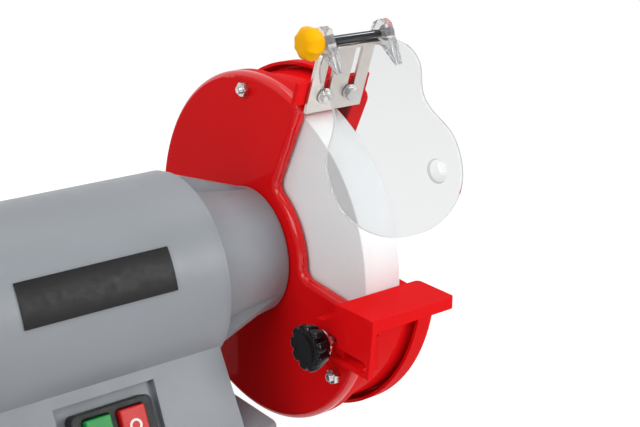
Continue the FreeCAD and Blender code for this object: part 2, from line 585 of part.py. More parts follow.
def guard_dish(label, side, face_x, towards, depth, radius, sheet):
    """Pressed guard wall: a disc with a grinding opening, its edge rolled away from the face."""
    body = new_body(label, z=SPINDLE)
    sketch = sketch_on(body, "YZ_Plane", "outline", mirrored(side, face_x))
    top = "(180 - sizes.opening_top_angle)"
    low = "(180 + sizes.opening_bottom_angle)"
    hub = "sizes.opening_hub_radius"
    ends = [polar(radius, top), polar(radius, low), polar(hub, low), polar(hub, top)]
    spots = [Vector(number(across), number(up), 0) for across, up in ends]
    middle = Vector(0, 0, 0)
    sense = Vector(0, 0, 1)
    top_turn = math.radians(number(top))
    low_turn = math.radians(number(low))
    outer = Part.ArcOfCircle(Part.Circle(middle, sense, number(radius)), low_turn, top_turn + 2 * math.pi)
    inner = Part.ArcOfCircle(Part.Circle(middle, sense, number(hub)), top_turn, low_turn)
    sketch.addGeometry([
        outer, Part.LineSegment(spots[0], spots[3]), inner, Part.LineSegment(spots[2], spots[1]),
    ])
    for first, first_end, second, second_end in ((0, 2, 1, 1), (1, 2, 2, 1), (2, 2, 3, 1), (3, 2, 0, 1)):
        sketch.addConstraint(Sketcher.Constraint("Coincident", first, first_end, second, second_end))
    for curve, formula in ((0, radius), (2, hub)):
        sketch.addConstraint(Sketcher.Constraint("Coincident", curve, 3, -1, 1))
        fix_radius(sketch, curve, formula)
    for curve, angle in ((1, top), (3, low)):
        index = sketch.addConstraint(Sketcher.Constraint("DistanceY", -1, 1, curve, 1, 0.0))
        start = polar(radius if curve == 1 else hub, angle)[1]
        sketch.setDatum(index, number(start))
        sketch.setExpression(f"Constraints[{index}]", start)
    for curve in (1, 3):
        sketch.addConstraint(Sketcher.Constraint("PointOnObject", -1, 1, curve))
    pad(body, sketch, depth, backwards=side * towards < 0)

    def is_corner(edge):
        box = edge.BoundBox
        return box.XLength > number(depth) - 0.01 and box.YLength + box.ZLength < 0.01

    round_edges(body, "sizes.guard_corner", is_corner, "corners")
    face = side * number(face_x)

    def on_face(edge):
        return edge.BoundBox.XLength < 0.001 and abs(edge.BoundBox.XMin - face) < 0.01

    round_edges(body, "sizes.guard_roll", on_face, "roll")
    back = face + side * towards * number(depth)
    tip = body.Tip
    open_faces = []
    for i, surface in enumerate(tip.Shape.Faces, start=1):
        if surface.BoundBox.XLength < 0.001 and abs(surface.BoundBox.XMin - back) < 0.01:
            open_faces.append(f"Face{i}")
    shell = body.newObject("PartDesign::Thickness", f"{body.Name}_shell")
    shell.Base = (tip, open_faces)
    shell.setExpression("Value", sheet)
    shell.Reversed = True
    doc.recompute()
    return body


def guard_wall(label, side):
    """Inner guard wall with the spindle opening and the holes of its screws and bolts."""
    body = guard_dish(label, side, WALL_X, 1, "sizes.guard_depth", GUARD_RADIUS, "sizes.guard_sheet")
    sketch = sketch_on(body, "YZ_Plane", "hub", mirrored(side, WALL_X))
    circle(sketch, "0", "0", "sizes.guard_hub_hole")
    pocket(body, sketch)
    sketch = sketch_on(body, "YZ_Plane", "screws", mirrored(side, WALL_X))
    for angle in SCREW_ANGLES:
        across, up = polar("sizes.guard_screw_circle", angle)
        circle(sketch, across, up, "(sizes.guard_screw_radius + sizes.bearing_fit)")
    for angle in LUG_ANGLES:
        across, up = polar(LUG_CIRCLE, angle)
        circle(sketch, across, up, "(sizes.wall_bolt_radius + sizes.bearing_fit)")
    pocket(body, sketch)
    return body


def guard_cover(label, side):
    """Outer guard cover, held by three screws."""
    body = guard_dish(label, side, COVER_X, -1, "sizes.cover_depth", COVER_RADIUS, "sizes.cover_sheet")
    sketch = sketch_on(body, "YZ_Plane", "screws", mirrored(side, COVER_X))
    for angle in LUG_ANGLES:
        across, up = polar(LUG_CIRCLE, angle)
        circle(sketch, across, up, "(sizes.cover_screw_radius + sizes.bearing_fit)")
    pocket(body, sketch)
    return body


def guard_drum(label, side):
    """Band around the wheel between wall and cover, open at the front, with its lugs."""
    lip_x = f"({WALL_X} + sizes.guard_depth)"
    lip_out_x = f"({lip_x} + sizes.drum_lip_width)"
    points = [
        (WALL_INSIDE_X, DRUM_INSIDE), (COVER_INSIDE_X, DRUM_INSIDE), (COVER_INSIDE_X, DRUM_RADIUS),
        (lip_out_x, DRUM_RADIUS), (lip_out_x, GUARD_RADIUS), (lip_x, GUARD_RADIUS), (lip_x, DRUM_RADIUS),
        (WALL_INSIDE_X, DRUM_RADIUS),
    ]
    sweep = f"(360 - sizes.opening_top_angle - sizes.drum_set_back - {DRUM_LOW})"
    body = turned(label, [(mirrored(side, x), radius) for x, radius in points], angle=sweep, turn=DRUM_TURN)
    centres = [polar(LUG_CIRCLE, f"({angle} - ({DRUM_TURN}))") for angle in LUG_ANGLES]
    inner = sketch_on(body, "YZ_Plane", "inner_lugs", mirrored(side, WALL_INSIDE_X))
    outer = sketch_on(body, "YZ_Plane", "outer_lugs", mirrored(side, COVER_INSIDE_X))
    for across, up in centres:
        circle(inner, across, up, "sizes.lug_radius")
        circle(outer, across, up, "sizes.lug_radius")
    pad(body, inner, "sizes.inner_lug_thickness", backwards=side < 0)
    pad(body, outer, "sizes.outer_lug_thickness", backwards=side > 0)
    drill(body, "inner_holes", centres, "(sizes.wall_bolt_radius + sizes.bearing_fit)",
          mirrored(side, WALL_INSIDE_X), "sizes.inner_lug_thickness", side > 0)
    drill(body, "outer_holes", centres, "(sizes.cover_screw_radius + sizes.bearing_fit)",
          mirrored(side, COVER_INSIDE_X), "sizes.outer_lug_thickness", side < 0)
    return body


def wheel(label, side):
    edge = "sizes.wheel_edge"
    bore = "(sizes.shaft_wheel_radius + sizes.bearing_fit)"
    points = [
        (WHEEL_X, bore), (WHEEL_X, f"({WHEEL_RADIUS} - {edge})"), (f"({WHEEL_X} + {edge})", WHEEL_RADIUS),
        (f"({WHEEL_OUT_X} - {edge})", WHEEL_RADIUS), (WHEEL_OUT_X, f"({WHEEL_RADIUS} - {edge})"),
        (WHEEL_OUT_X, bore),
    ]
    return turned(label, [(mirrored(side, x), radius) for x, radius in points])


def inner_flange(label, side):
    bore = "sizes.shaft_wheel_radius"
    face_x = f"({FLANGE_X} + sizes.inner_flange_thickness)"
    points = [
        (SHOULDER_X, bore), (SHOULDER_X, "sizes.inner_flange_hub_radius"),
        (FLANGE_X, "sizes.inner_flange_hub_radius"), (FLANGE_X, "sizes.flange_radius"),
        (face_x, "sizes.flange_radius"), (face_x, bore),
    ]
    return turned(label, [(mirrored(side, x), radius) for x, radius in points])


def outer_flange(label, side):
    """Outer wheel flange, hollowed so that only its rim presses on the blotter."""
    bore = "sizes.shaft_wheel_radius"
    relief_x = f"({OUTER_FLANGE_X} + sizes.flange_relief)"
    points = [
        (relief_x, bore), (relief_x, "(sizes.flange_radius * 0.7)"),
        (OUTER_FLANGE_X, "(sizes.flange_radius * 0.7)"), (OUTER_FLANGE_X, "sizes.flange_radius"),
        (f"({OUTER_FLANGE_X} + sizes.outer_flange_thickness / 2)", "sizes.flange_radius"),
        (NUT_X, "(sizes.flange_radius * 0.6)"), (NUT_X, bore),
    ]
    return turned(label, [(mirrored(side, x), radius) for x, radius in points])


def wheel_nut(label, side):
    body = new_body(label, z=SPINDLE)
    sketch = sketch_on(body, "YZ_Plane", "hexagon", mirrored(side, NUT_X))
    hexagon(sketch, "sizes.wheel_nut_across")
    circle(sketch, "0", "0", "sizes.shaft_wheel_radius")
    pad(body, sketch, "sizes.wheel_nut_height", backwards=side < 0)
    return body


def lobed_knob(label, profile, side, radius, valleys, ends, bore, **place):
    """Turned knob with valleys scooped along X between two ends, and a blind bore."""
    body = turned(label, [(mirrored(side, x), r) for x, r in profile], **place)
    start, end = ends
    count, depth, scoop = valleys
    sketch = sketch_on(body, "YZ_Plane", "valley", mirrored(side, start))
    circle(sketch, "0", f"({radius} + {scoop} - {depth})", scoop)
    around(body, pocket(body, sketch, f"({end} - {start})", side > 0), count)
    bore_radius, bore_end, bore_depth = bore
    drill(body, "bore", [("0", "0")], bore_radius, mirrored(side, bore_end), bore_depth, side < 0)
    return body


def rest_knob(label, side):
    """Star knob of the tool rest, its lobed head away from the wheel."""
    radius = "sizes.rest_knob_radius"
    head_x = f"({KNOB_X} - sizes.rest_knob_thickness)"
    edge = "sizes.rest_knob_edge"
    back_radius = f"({radius} - sizes.rest_knob_taper)"
    profile = [
        (head_x, "0"), (head_x, f"({radius} - {edge})"), (f"({head_x} + {edge})", radius),
        (f"({KNOB_X} - {edge})", back_radius), (KNOB_X, f"({back_radius} - {edge})"),
        (KNOB_X, "sizes.rest_hub_radius"), (HUB_X, "sizes.rest_hub_radius"), (HUB_X, "0"),
    ]
    bore_depth = "(sizes.rest_hub_length + sizes.rest_knob_thickness / 2)"
    valleys = ("sizes.rest_knob_lobes", "sizes.rest_knob_valley", "sizes.rest_knob_scoop")
    return lobed_knob(label, profile, side, radius, valleys, (head_x, KNOB_X),
                      ("sizes.stud_radius", HUB_X, bore_depth), y=STUD_Y, z=STUD_Z)


def rest_stud(label, side):
    """Threaded stud from the star knob through the side plate into the rest mount, and its washer."""
    start = f"({KNOB_X} - sizes.rest_knob_thickness / 2)"
    end = f"({MOUNT_X} + sizes.stud_depth)"
    chamfered = "(sizes.stud_radius - 0.6)"
    points = [
        (start, "0"), (start, "sizes.stud_radius"), (f"({end} - 0.6)", "sizes.stud_radius"),
        (end, chamfered), (end, "0"),
    ]
    stud = turned(f"{label}_thread", [(mirrored(side, x), r) for x, r in points], y=STUD_Y, z=STUD_Z)
    washer_end = mirrored(side, f"({HUB_X} + sizes.rest_washer_thickness)")
    washer = ring(f"{label}_washer", mirrored(side, HUB_X), washer_end, "sizes.stud_radius",
                  "sizes.rest_washer_radius", y=STUD_Y, z=STUD_Z)
    return group(label, [stud, washer])


def rest_mount(label, side):
    """Block welded to the guard wall that takes the knob stud, hollow behind the lower slot."""
    body = new_body(label, y=STUD_Y, z=STUD_Z)
    sketch = sketch_on(body, "YZ_Plane", "block", mirrored(side, MOUNT_X))
    rectangle(sketch, "-sizes.mount_front", "sizes.mount_back", "-sizes.mount_down", "sizes.mount_up")
    circle(sketch, "0", "0", "(sizes.stud_radius + sizes.bearing_fit)")
    pad(body, sketch, f"({WALL_X} - {MOUNT_X})", backwards=side < 0)
    shelf = "(sizes.rest_above - sizes.rest_plate_height + sizes.guide_slot_rail + sizes.stud_below)"
    sketch = sketch_on(body, "YZ_Plane", "recess", mirrored(side, MOUNT_X))
    rectangle(sketch, "(-sizes.mount_front - sizes.mount_recess)", "-sizes.mount_recess_ahead",
              shelf, f"({shelf} + sizes.guide_slot_height)")
    pocket(body, sketch, "sizes.mount_recess", side > 0)
    return body


def tool_rest(label, side):
    """Table in front of the wheel and its side plate, slotted for the stud and for a guide below it."""
    body = new_body(label, z=SPINDLE)
    top = "sizes.rest_above"
    under = "(sizes.rest_above - sizes.rest_thickness)"
    low = "(sizes.rest_above - sizes.rest_plate_height)"
    tail = f"(sizes.rest_plate_tail - {REST_BACK})"
    level = "-sizes.stud_below"
    half = "(sizes.stud_radius + sizes.rest_slot_play)"
    sketch = sketch_on(body, "YZ_Plane", "plate", mirrored(side, REST_X))
    outline(sketch, [
        (f"-{REST_FRONT}", top), (f"-{REST_BACK}", top), (f"-{REST_BACK}", under),
        (f"({tail} - 4)", f"({level} + {half} + 1)"),
        (tail, f"({level} + 1.5)"), (tail, low), (f"(sizes.rest_plate_lean - {REST_FRONT})", low),
        (f"-{REST_FRONT}", under),
    ])
    pad(body, sketch, "sizes.rest_plate", backwards=side < 0)
    sketch = sketch_on(body, "YZ_Plane", "table", mirrored(side, REST_X))
    rectangle(sketch, f"-{REST_FRONT}", f"-{REST_BACK}", under, top)
    pad(body, sketch, "sizes.rest_length", backwards=side < 0)
    ahead = f"({STUD_Y} - sizes.rest_slot_ahead)"
    back = f"({tail} - sizes.rest_slot_back - {half})"
    cut_slot(body, "YZ_Plane", mirrored(side, REST_X), (ahead, level), (back, level), half,
             "sizes.rest_plate", side > 0)
    guide_half = "(sizes.guide_slot_height / 2)"
    guide_level = f"({low} + sizes.guide_slot_rail + {guide_half})"
    front = f"(sizes.guide_slot_front + {guide_half} - {REST_FRONT})"
    cut_slot(body, "YZ_Plane", mirrored(side, REST_X), (front, guide_level), (ahead, guide_level), guide_half,
             "sizes.rest_plate", side > 0)
    far_x = side * number(f"({REST_X} + sizes.rest_length)")

    def is_far_upright(edge):
        box = edge.BoundBox
        return box.XLength + box.YLength < 0.01 and abs(box.XMin - far_x) < 0.01

    round_edges(body, "sizes.rest_corner", is_far_upright, "corners")
    return body


def cut_slot(body, role, offset, first, last, half, length, backwards):
    """Slot with round ends between two points of a plane, along its first or second axis."""
    along_first = first[1] == last[1]
    name = f"slot_{len(body.Group)}"
    sketch = sketch_on(body, role, f"{name}_middle", offset)
    if along_first:
        rectangle(sketch, first[0], last[0], f"({first[1]} - {half})", f"({first[1]} + {half})")
    else:
        rectangle(sketch, f"({first[0]} - {half})", f"({first[0]} + {half})", first[1], last[1])
    pocket(body, sketch, length, backwards)
    sketch = sketch_on(body, role, f"{name}_ends", offset)
    circle(sketch, first[0], first[1], half)
    circle(sketch, last[0], last[1], half)
    pocket(body, sketch, length, backwards)


def shield_seat(label, side):
    """Plate that carries the shield bracket, standing on the upper end of the drum."""
    body = new_body(label, y=BRACKET_Y, z=BRACKET_Z, turn=BRACKET_TURN)
    front = "(-(sizes.bracket_sheet + sizes.running_gap))"
    middle = f"({WHEEL_X} + sizes.seat_centre)"
    left, right = f"({middle} - sizes.seat_width / 2)", f"({middle} + sizes.seat_width / 2)"
    sketch = sketch_on(body, "XY_Plane", "plate", front)
    rectangle(sketch, mirrored(side, left), mirrored(side, right), "sizes.seat_low", "sizes.seat_high")
    for across in bolt_across(side):
        circle(sketch, across, "sizes.bracket_bolt_up", "(sizes.bracket_bolt_radius + sizes.bearing_fit)")
    pad(body, sketch, "sizes.seat_sheet", backwards=True)
    foot_x = f"({WALL_X} + sizes.guard_depth + sizes.running_gap)"
    drum_turn = "(sizes.opening_top_angle + sizes.drum_set_back + sizes.bracket_lean)"
    edge_turn = f"({BRACKET_ANGLE} + sizes.bracket_lean)"

    def drum_end(radius):
        return (f"({radius} * sin({drum_turn}) - {BRACKET_R} * sin({edge_turn}))",
                f"({radius} * cos({drum_turn}) - {BRACKET_R} * cos({edge_turn}))")

    sketch = sketch_on(body, "YZ_Plane", "foot", mirrored(side, foot_x))
    weld = "(sizes.seat_low + 1)"
    outline(sketch, [
        ("0", front), (weld, front), (weld, f"({front} - sizes.seat_sheet)"), drum_end(GUARD_RADIUS),
        drum_end(DRUM_INSIDE),
    ])
    pad(body, sketch, "sizes.seat_foot", backwards=side < 0)
    return body


def bolt_across(side):
    """The two bracket bolts along the spindle."""
    half = "sizes.slot_spacing / 2"
    return mirrored(side, f"({BRACKET_X} - {half})"), mirrored(side, f"({BRACKET_X} + {half})")


def shield_bracket(label, side):
    """Slotted bracket that slides on the seat, with the shelf that carries the shield rod."""
    body = new_body(label, y=BRACKET_Y, z=BRACKET_Z, turn=BRACKET_TURN)
    left, right = f"({BRACKET_X} - sizes.bracket_width / 2)", f"({BRACKET_X} + sizes.bracket_width / 2)"
    notch = f"({CLIP_IN_X} + sizes.clip_width + 2 * sizes.running_gap)"
    height = "sizes.bracket_height"
    sketch = sketch_on(body, "XY_Plane", "plate")
    points = [
        (left, "0"), (right, "0"), (right, height), (notch, height), (notch, "sizes.bracket_notch_low"),
        (left, "sizes.bracket_notch_low"),
    ]
    outline(sketch, [(mirrored(side, x), up) for x, up in points])
    pad(body, sketch, "sizes.bracket_sheet", backwards=True)
    sketch = sketch_on(body, "XY_Plane", "shelf", "-sizes.bracket_sheet")
    shelf_top = f"({height} + sizes.bracket_sheet)"
    rectangle(sketch, mirrored(side, notch), mirrored(side, right), height, shelf_top)
    pad(body, sketch, "sizes.bracket_shelf")
    half = "(sizes.slot_width / 2)"
    for across in bolt_across(side):
        cut_slot(body, "XY_Plane", "0", (across, f"(sizes.slot_low + {half})"),
                 (across, f"(sizes.slot_high - {half})"), half, "sizes.bracket_sheet", False)
    return body


def shield_rod(label, side):
    """Rod through the clips, with a head at the outer end and a thread for the clamp knob."""
    start = f"({CLAMP_X} - sizes.clamp_knob_depth)"
    head = f"({CLIP_OUT_X} + sizes.running_gap)"
    end = f"({head} + sizes.rod_head_length)"
    points = [
        (start, "0"), (start, "sizes.rod_radius"), (head, "sizes.rod_radius"),
        (head, "sizes.rod_head_radius"), (f"({end} - 1)", "sizes.rod_head_radius"),
        (end, "(sizes.rod_head_radius - 1)"), (end, "0"),
    ]
    return turned(label, [(mirrored(side, x), r) for x, r in points], y=ROD_Y, z=ROD_Z)


def shield_clips(label, side):
    """Two clips that hang the pane on the rod."""
    clips = []
    for start in (CLIP_IN_X, f"({CLIP_OUT_X} - sizes.clip_width)"):
        body = new_body(f"{label}_{len(clips)}", y=ROD_Y, z=ROD_Z, turn=SHIELD_TURN)
        sketch = sketch_on(body, "YZ_Plane", "ear", mirrored(side, start))
        circle(sketch, "0", "0", "sizes.clip_radius")
        pad(body, sketch, "sizes.clip_width", backwards=side < 0)
        sketch = sketch_on(body, "YZ_Plane", "tail", mirrored(side, start))
        outline(sketch, [
            ("(sizes.clip_radius / 2)", "0"), ("(sizes.clip_radius / 2)", "sizes.shield_ahead"),
            ("-sizes.clip_tail", "sizes.shield_ahead"), ("-sizes.clip_tail", "(sizes.shield_ahead - 1.5)"),
            ("-sizes.clip_radius", "0"),
        ])
        pad(body, sketch, "sizes.clip_width", backwards=side < 0)
        sketch = sketch_on(body, "YZ_Plane", "front", mirrored(side, start))
        rectangle(sketch, "-4 * sizes.clip_radius", "2 * sizes.clip_radius", "sizes.shield_ahead",
                  "(2 * sizes.clip_radius)")
        pocket(body, sketch)
        drill(body, "hole", [("0", "0")], "(sizes.rod_radius + sizes.bearing_fit)", mirrored(side, start),
              "sizes.clip_width", side > 0)
        clips.append(body)
    return group(label, clips)


def shield_pane(label, side):
    """Clear pane with a narrow upper lobe, a waist and a wide lower lobe, and a round grip."""
    shoulder = number("sizes.pane_shoulder")
    waist = number("sizes.pane_waist")
    belly = number("sizes.pane_belly")
    top = number("sizes.pane_top")
    drop = number("sizes.pane_bottom") - top
    half = [
        (0.0, 0.0), (0.58 * shoulder, 0.012), (0.90 * shoulder, 0.085), (0.98 * shoulder, 0.165),
        (waist, 0.30), (0.77 * belly, 0.42), (0.95 * belly, 0.535), (belly, 0.66), (0.92 * belly, 0.80),
        (0.62 * belly, 0.93), (0.0, 1.0),
    ]
    points = [Vector(x, -top - drop * down, 0) for x, down in half]
    points += [Vector(-x, -top - drop * down, 0) for x, down in reversed(half[1:-1])]
    curve = Part.BSplineCurve()
    curve.interpolate(Points=points, PeriodicFlag=True)
    sheet = number("sizes.shield_sheet")
    pane = Part.Face(Part.Wire(curve.toShape())).extrude(Vector(0, 0, sheet))
    height = number("sizes.grip_height")
    rim = number("sizes.grip_radius")
    ball = (rim ** 2 + height ** 2) / (2 * height)
    spot = Vector(side * number("sizes.grip_across"), -number("sizes.grip_down"), sheet)
    dome = Part.makeSphere(ball, spot + Vector(0, 0, height - ball))
    above = Part.makeBox(4 * ball, 4 * ball, 4 * ball, spot - Vector(2 * ball, 2 * ball, sheet / 2))
    shape = pane.fuse(dome.common(above)).removeSplitter()
    feature = doc.addObject("Part::Feature", label)
    feature.Label = label
    feature.Shape = shape
    middle = side * number(SHIELD_X)
    turn = Rotation(Vector(1, 0, 0), number(SHIELD_TURN))
    place = Vector(middle, number(ROD_Y), number(ROD_Z))
    feature.Placement = Placement(place + turn.multVec(Vector(0, 0, number("sizes.shield_ahead"))), turn)
    return feature


def clamp_knob(label, side):
    """Fluted knob on the threaded end of the shield rod."""
    radius = "sizes.clamp_knob_radius"
    end = f"({CLAMP_X} - sizes.clamp_knob_length)"
    profile = [
        (end, "0"), (end, f"({radius} - 1.4)"), (f"({end} + 1.4)", radius), (f"({CLAMP_X} - 2.5)", radius),
        (f"({CLAMP_X} - 2.5)", f"({radius} - 3)"), (CLAMP_X, f"({radius} - 3)"), (CLAMP_X, "0"),
    ]
    valleys = ("sizes.clamp_knob_flutes", "sizes.clamp_knob_valley", "sizes.clamp_knob_scoop")
    bore = ("(sizes.rod_radius + sizes.bearing_fit)", CLAMP_X, "(sizes.clamp_knob_depth + sizes.running_gap)")
    return lobed_knob(label, profile, side, radius, valleys, (end, f"({CLAMP_X} - 2.5)"), bore,
                      y=ROD_Y, z=ROD_Z)


def motor_barrel(label):
    body = ring(label, f"-{BARREL_END}", BARREL_END, BARREL_BORE, "sizes.barrel_radius")
    sketch = sketch_on(body, "XY_Plane", "wires")
    circle(sketch, "0", "0", "sizes.cable_hole_radius")
    pocket(body, sketch, "(sizes.barrel_radius + 1)")
    centres = [polar(BELL_SCREW_CIRCLE, angle) for angle in BELL_SCREW_ANGLES]
    radius = "(sizes.bell_screw_radius + sizes.bearing_fit)"
    for name, side in SIDES:
        drill(body, f"{name}_holes", centres, radius, mirrored(side, BARREL_END), "sizes.bell_screw_length",
              side < 0)
    return body


def spindle(label):
    """Stepped shaft through rotor, bearings and both wheels."""
    core = "sizes.shaft_core_radius"
    journal = "sizes.bearing_bore_radius"
    end = "sizes.shaft_wheel_radius"
    right_step = f"({BEARING_STOP_X} - sizes.bearing_width)"
    left_step = f"-({BEARING_STOP_X} - sizes.bearing_width - sizes.wave_washer_thickness)"
    return turned(label, [
        (f"-{SHAFT_END_X}", "0"), (f"-{SHAFT_END_X}", end), (f"-{SHOULDER_X}", end),
        (f"-{SHOULDER_X}", journal), (left_step, journal), (left_step, core), (right_step, core),
        (right_step, journal),
        (SHOULDER_X, journal), (SHOULDER_X, end), (SHAFT_END_X, end), (SHAFT_END_X, "0"),
    ])


def bearing_span(side):
    """Both ends of a bearing along the spindle; the left one leaves room for the wave washer."""
    stop = BEARING_STOP_X if side > 0 else f"({BEARING_STOP_X} - sizes.wave_washer_thickness)"
    return mirrored(side, f"({stop} - sizes.bearing_width)"), mirrored(side, stop)


def bearing_rings(label, bore, radius):
    return group(label, [ring(f"{label}_{name}", *bearing_span(side), bore, radius) for name, side in SIDES])


def bearing_balls(label):
    pitch = number("(sizes.bearing_bore_radius + sizes.bearing_outer_radius) / 2")
    count = int(number("sizes.ball_count"))
    balls = []
    for name, side in SIDES:
        start, end = bearing_span(side)
        middle = number(f"({start} + {end}) / 2")
        for i in range(count):
            ball = doc.addObject("Part::Sphere", f"{label}_{name}_{i}")
            ball.setExpression("Radius", "(sizes.bearing_outer_radius - sizes.bearing_bore_radius) / 2"
                                         " - sizes.bearing_ring - sizes.bearing_fit")
            turn = 2 * math.pi * i / count
            spot = Vector(middle, pitch * math.cos(turn), pitch * math.sin(turn) + number(SPINDLE))
            ball.Placement = Placement(spot, Rotation())
            balls.append(ball)
    return group(label, balls)


def stator_core(label):
    """Laminated stack with winding slots open to the rotor."""
    end = "sizes.stator_length / 2"
    body = ring(label, f"-{end}", end, "sizes.stator_bore_radius", BARREL_BORE)
    sketch = sketch_on(body, "YZ_Plane", "slot", end)
    half = "sizes.stator_slot_width / 2"
    rectangle(sketch, f"-{half}", half, "(sizes.stator_bore_radius - 1)",
              "(sizes.stator_bore_radius + sizes.stator_slot_depth)")
    around(body, pocket(body, sketch, "sizes.stator_length"), "sizes.stator_slot_count")
    return body


def stator_windings(label):
    """End turns on both faces of the stack."""
    inside = "(sizes.stator_bore_radius + 2)"
    outside = f"({inside} + sizes.winding_thickness)"
    start = "sizes.stator_length / 2"
    end = f"({start} + sizes.winding_length)"
    turns = []
    for name, side in SIDES:
        edge = "sizes.winding_thickness / 4"
        points = [
            (start, inside), (end, f"({inside} + {edge})"), (end, f"({outside} - {edge})"),
            (f"({end} - {edge})", outside), (start, outside),
        ]
        turns.append(turned(f"{label}_{name}", [(mirrored(side, x), r) for x, r in points]))
    return group(label, turns)


def blotters(label):
    """Paper discs on both faces of both wheels."""
    discs = []
    for name, side in SIDES:
        for place, start in (("inner", f"({WHEEL_X} - sizes.blotter_thickness)"), ("outer", WHEEL_OUT_X)):
            end = f"({start} + sizes.blotter_thickness)"
            discs.append(ring(f"{label}_{name}_{place}", mirrored(side, start), mirrored(side, end),
                              "sizes.shaft_wheel_radius", "sizes.blotter_radius"))
    return group(label, discs)


def pedestal(label):
    """Hollow cast foot and column with a saddle for the barrel and a switch recess."""
    body = new_body(label)
    wall = "sizes.column_wall"
    sketch = sketch_on(body, "XY_Plane", "box")
    rectangle(sketch, f"-{FOOT_HALF_LENGTH}", FOOT_HALF_LENGTH, f"-{FOOT_HALF_DEPTH}", FOOT_HALF_DEPTH)
    pad(body, sketch, "sizes.foot_height")

    def is_upright(edge):
        return edge.BoundBox.XLength + edge.BoundBox.YLength < 0.01

    def is_top(edge):
        return edge.BoundBox.ZMin > number("sizes.foot_height") - 0.01

    round_edges(body, "sizes.foot_corner", is_upright, "corners")
    round_edges(body, "sizes.foot_edge", is_top, "top")
    ear = "(sizes.bench_bolt_ahead / 2 + sizes.foot_ear_reach)"
    bolt_x = f"({FOOT_HALF_LENGTH} - sizes.bench_bolt_inset)"
    sketch = sketch_on(body, "XY_Plane", "ears")
    rectangle(sketch, f"-{FOOT_HALF_LENGTH}", FOOT_HALF_LENGTH, f"-{ear}", ear)
    for across in (f"-{bolt_x}", bolt_x):
        for up in ("-sizes.bench_bolt_ahead / 2", "sizes.bench_bolt_ahead / 2"):
            circle(sketch, across, up, "sizes.bench_bolt_radius")
    pad(body, sketch, "sizes.foot_ear_thickness")

    def is_ear_corner(edge):
        return is_upright(edge) and abs(edge.BoundBox.YMax) > number(ear) - 0.01

    round_edges(body, "sizes.foot_corner", is_ear_corner, "ear_corners")
    low = sketch_on(body, "XY_Plane", "column_low", "sizes.foot_height")
    rectangle(low, f"-{COLUMN_FOOT_SIDE}", COLUMN_FOOT_SIDE, f"-{COLUMN_FOOT_HALF}", COLUMN_FOOT_HALF)
    high = sketch_on(body, "XY_Plane", "column_high", COLUMN_TOP)
    rectangle(high, f"-{BARREL_END}", BARREL_END, f"-{COLUMN_TOP_HALF}", COLUMN_TOP_HALF)
    column = add_feature(body, "AdditiveLoft", low, "column")
    column.Sections = [high]
    column.Ruled = True
    sketch = sketch_on(body, "YZ_Plane", "saddle")
    circle(sketch, "0", SPINDLE, "sizes.barrel_radius")
    pocket(body, sketch)
    recess_high = f"({COLUMN_TOP} - sizes.recess_top)"
    recess_half = f"({COLUMN_TOP_HALF} + {COLUMN_SLOPE} * sizes.recess_top - sizes.recess_depth)"
    outside = f"-(2 * {FOOT_HALF_DEPTH})"
    sketch = sketch_on(body, "YZ_Plane", "recess")
    outline(sketch, [
        (f"(sizes.recess_depth - {COLUMN_FOOT_HALF})", "sizes.foot_height"), (f"-{recess_half}", recess_high),
        (outside, recess_high), (outside, "sizes.foot_height"),
    ])
    recess = pocket(body, sketch, "2 * sizes.recess_half_width")
    recess.SideType = "Symmetric"
    sketch = sketch_on(body, "XY_Plane", "cavity")
    side, front = f"({FOOT_HALF_LENGTH} - {wall})", f"({FOOT_HALF_DEPTH} - {wall})"
    rectangle(sketch, f"-{side}", side, f"-{front}", front)
    pocket(body, sketch, f"(sizes.foot_height - {wall})", True)
    cavity_top = f"({SPINDLE} - sizes.barrel_radius - {wall})"
    set_in = f"({wall} + sizes.recess_depth)"
    low_side, low_front = f"({COLUMN_FOOT_SIDE} - {wall})", f"({COLUMN_FOOT_HALF} - {set_in})"
    high_side = f"({BARREL_END} - {wall})"
    high_front = f"({COLUMN_TOP_HALF} + {COLUMN_SLOPE} * ({COLUMN_TOP} - {cavity_top}) - {set_in})"
    low = sketch_on(body, "XY_Plane", "cavity_low", f"(sizes.foot_height - {wall})")
    rectangle(low, f"-{low_side}", low_side, f"-{low_front}", low_front)
    high = sketch_on(body, "XY_Plane", "cavity_high", cavity_top)
    rectangle(high, f"-{high_side}", high_side, f"-{high_front}", high_front)
    hollow = add_feature(body, "SubtractiveLoft", low, "hollow")
    hollow.Sections = [high]
    hollow.Ruled = True
    sketch = sketch_on(body, "XY_Plane", "wires", "sizes.foot_height")
    circle(sketch, "0", "0", "sizes.cable_hole_radius")
    pocket(body, sketch, f"({SPINDLE} - sizes.foot_height)", True)
    post_base = "(sizes.bottom_plate_inset + sizes.bottom_plate_thickness)"
    posts = sketch_on(body, "XY_Plane", "posts", post_base)
    for across, up in post_centres():
        circle(posts, across, up, "sizes.post_radius")
    pad(body, posts, f"(sizes.foot_height - {wall} / 2 - {post_base})")
    holes = sketch_on(body, "XY_Plane", "post_holes", post_base)
    for across, up in post_centres():
        circle(holes, across, up, "(sizes.bottom_screw_radius + sizes.bearing_fit)")
    pocket(body, holes, "sizes.bottom_screw_length", True)
    sketch = sketch_on(body, "XZ_Plane", "gland", f"-{FOOT_HALF_DEPTH}")
    gland_hole = "(sizes.gland_radius + sizes.bearing_fit)"
    circle(sketch, "sizes.gland_across_foot", "sizes.gland_height", gland_hole)
    pocket(body, sketch, f"2 * {wall}", True)
    sketch = sketch_on(body, "XZ_Plane", "switch_wires", FOOT_HALF_DEPTH)
    circle(sketch, "0", f"(sizes.foot_height + {SWITCH_UP})", "(sizes.button_width / 4)")
    pocket(body, sketch, f"({FOOT_HALF_DEPTH} - {high_front} + {wall})")
    return body


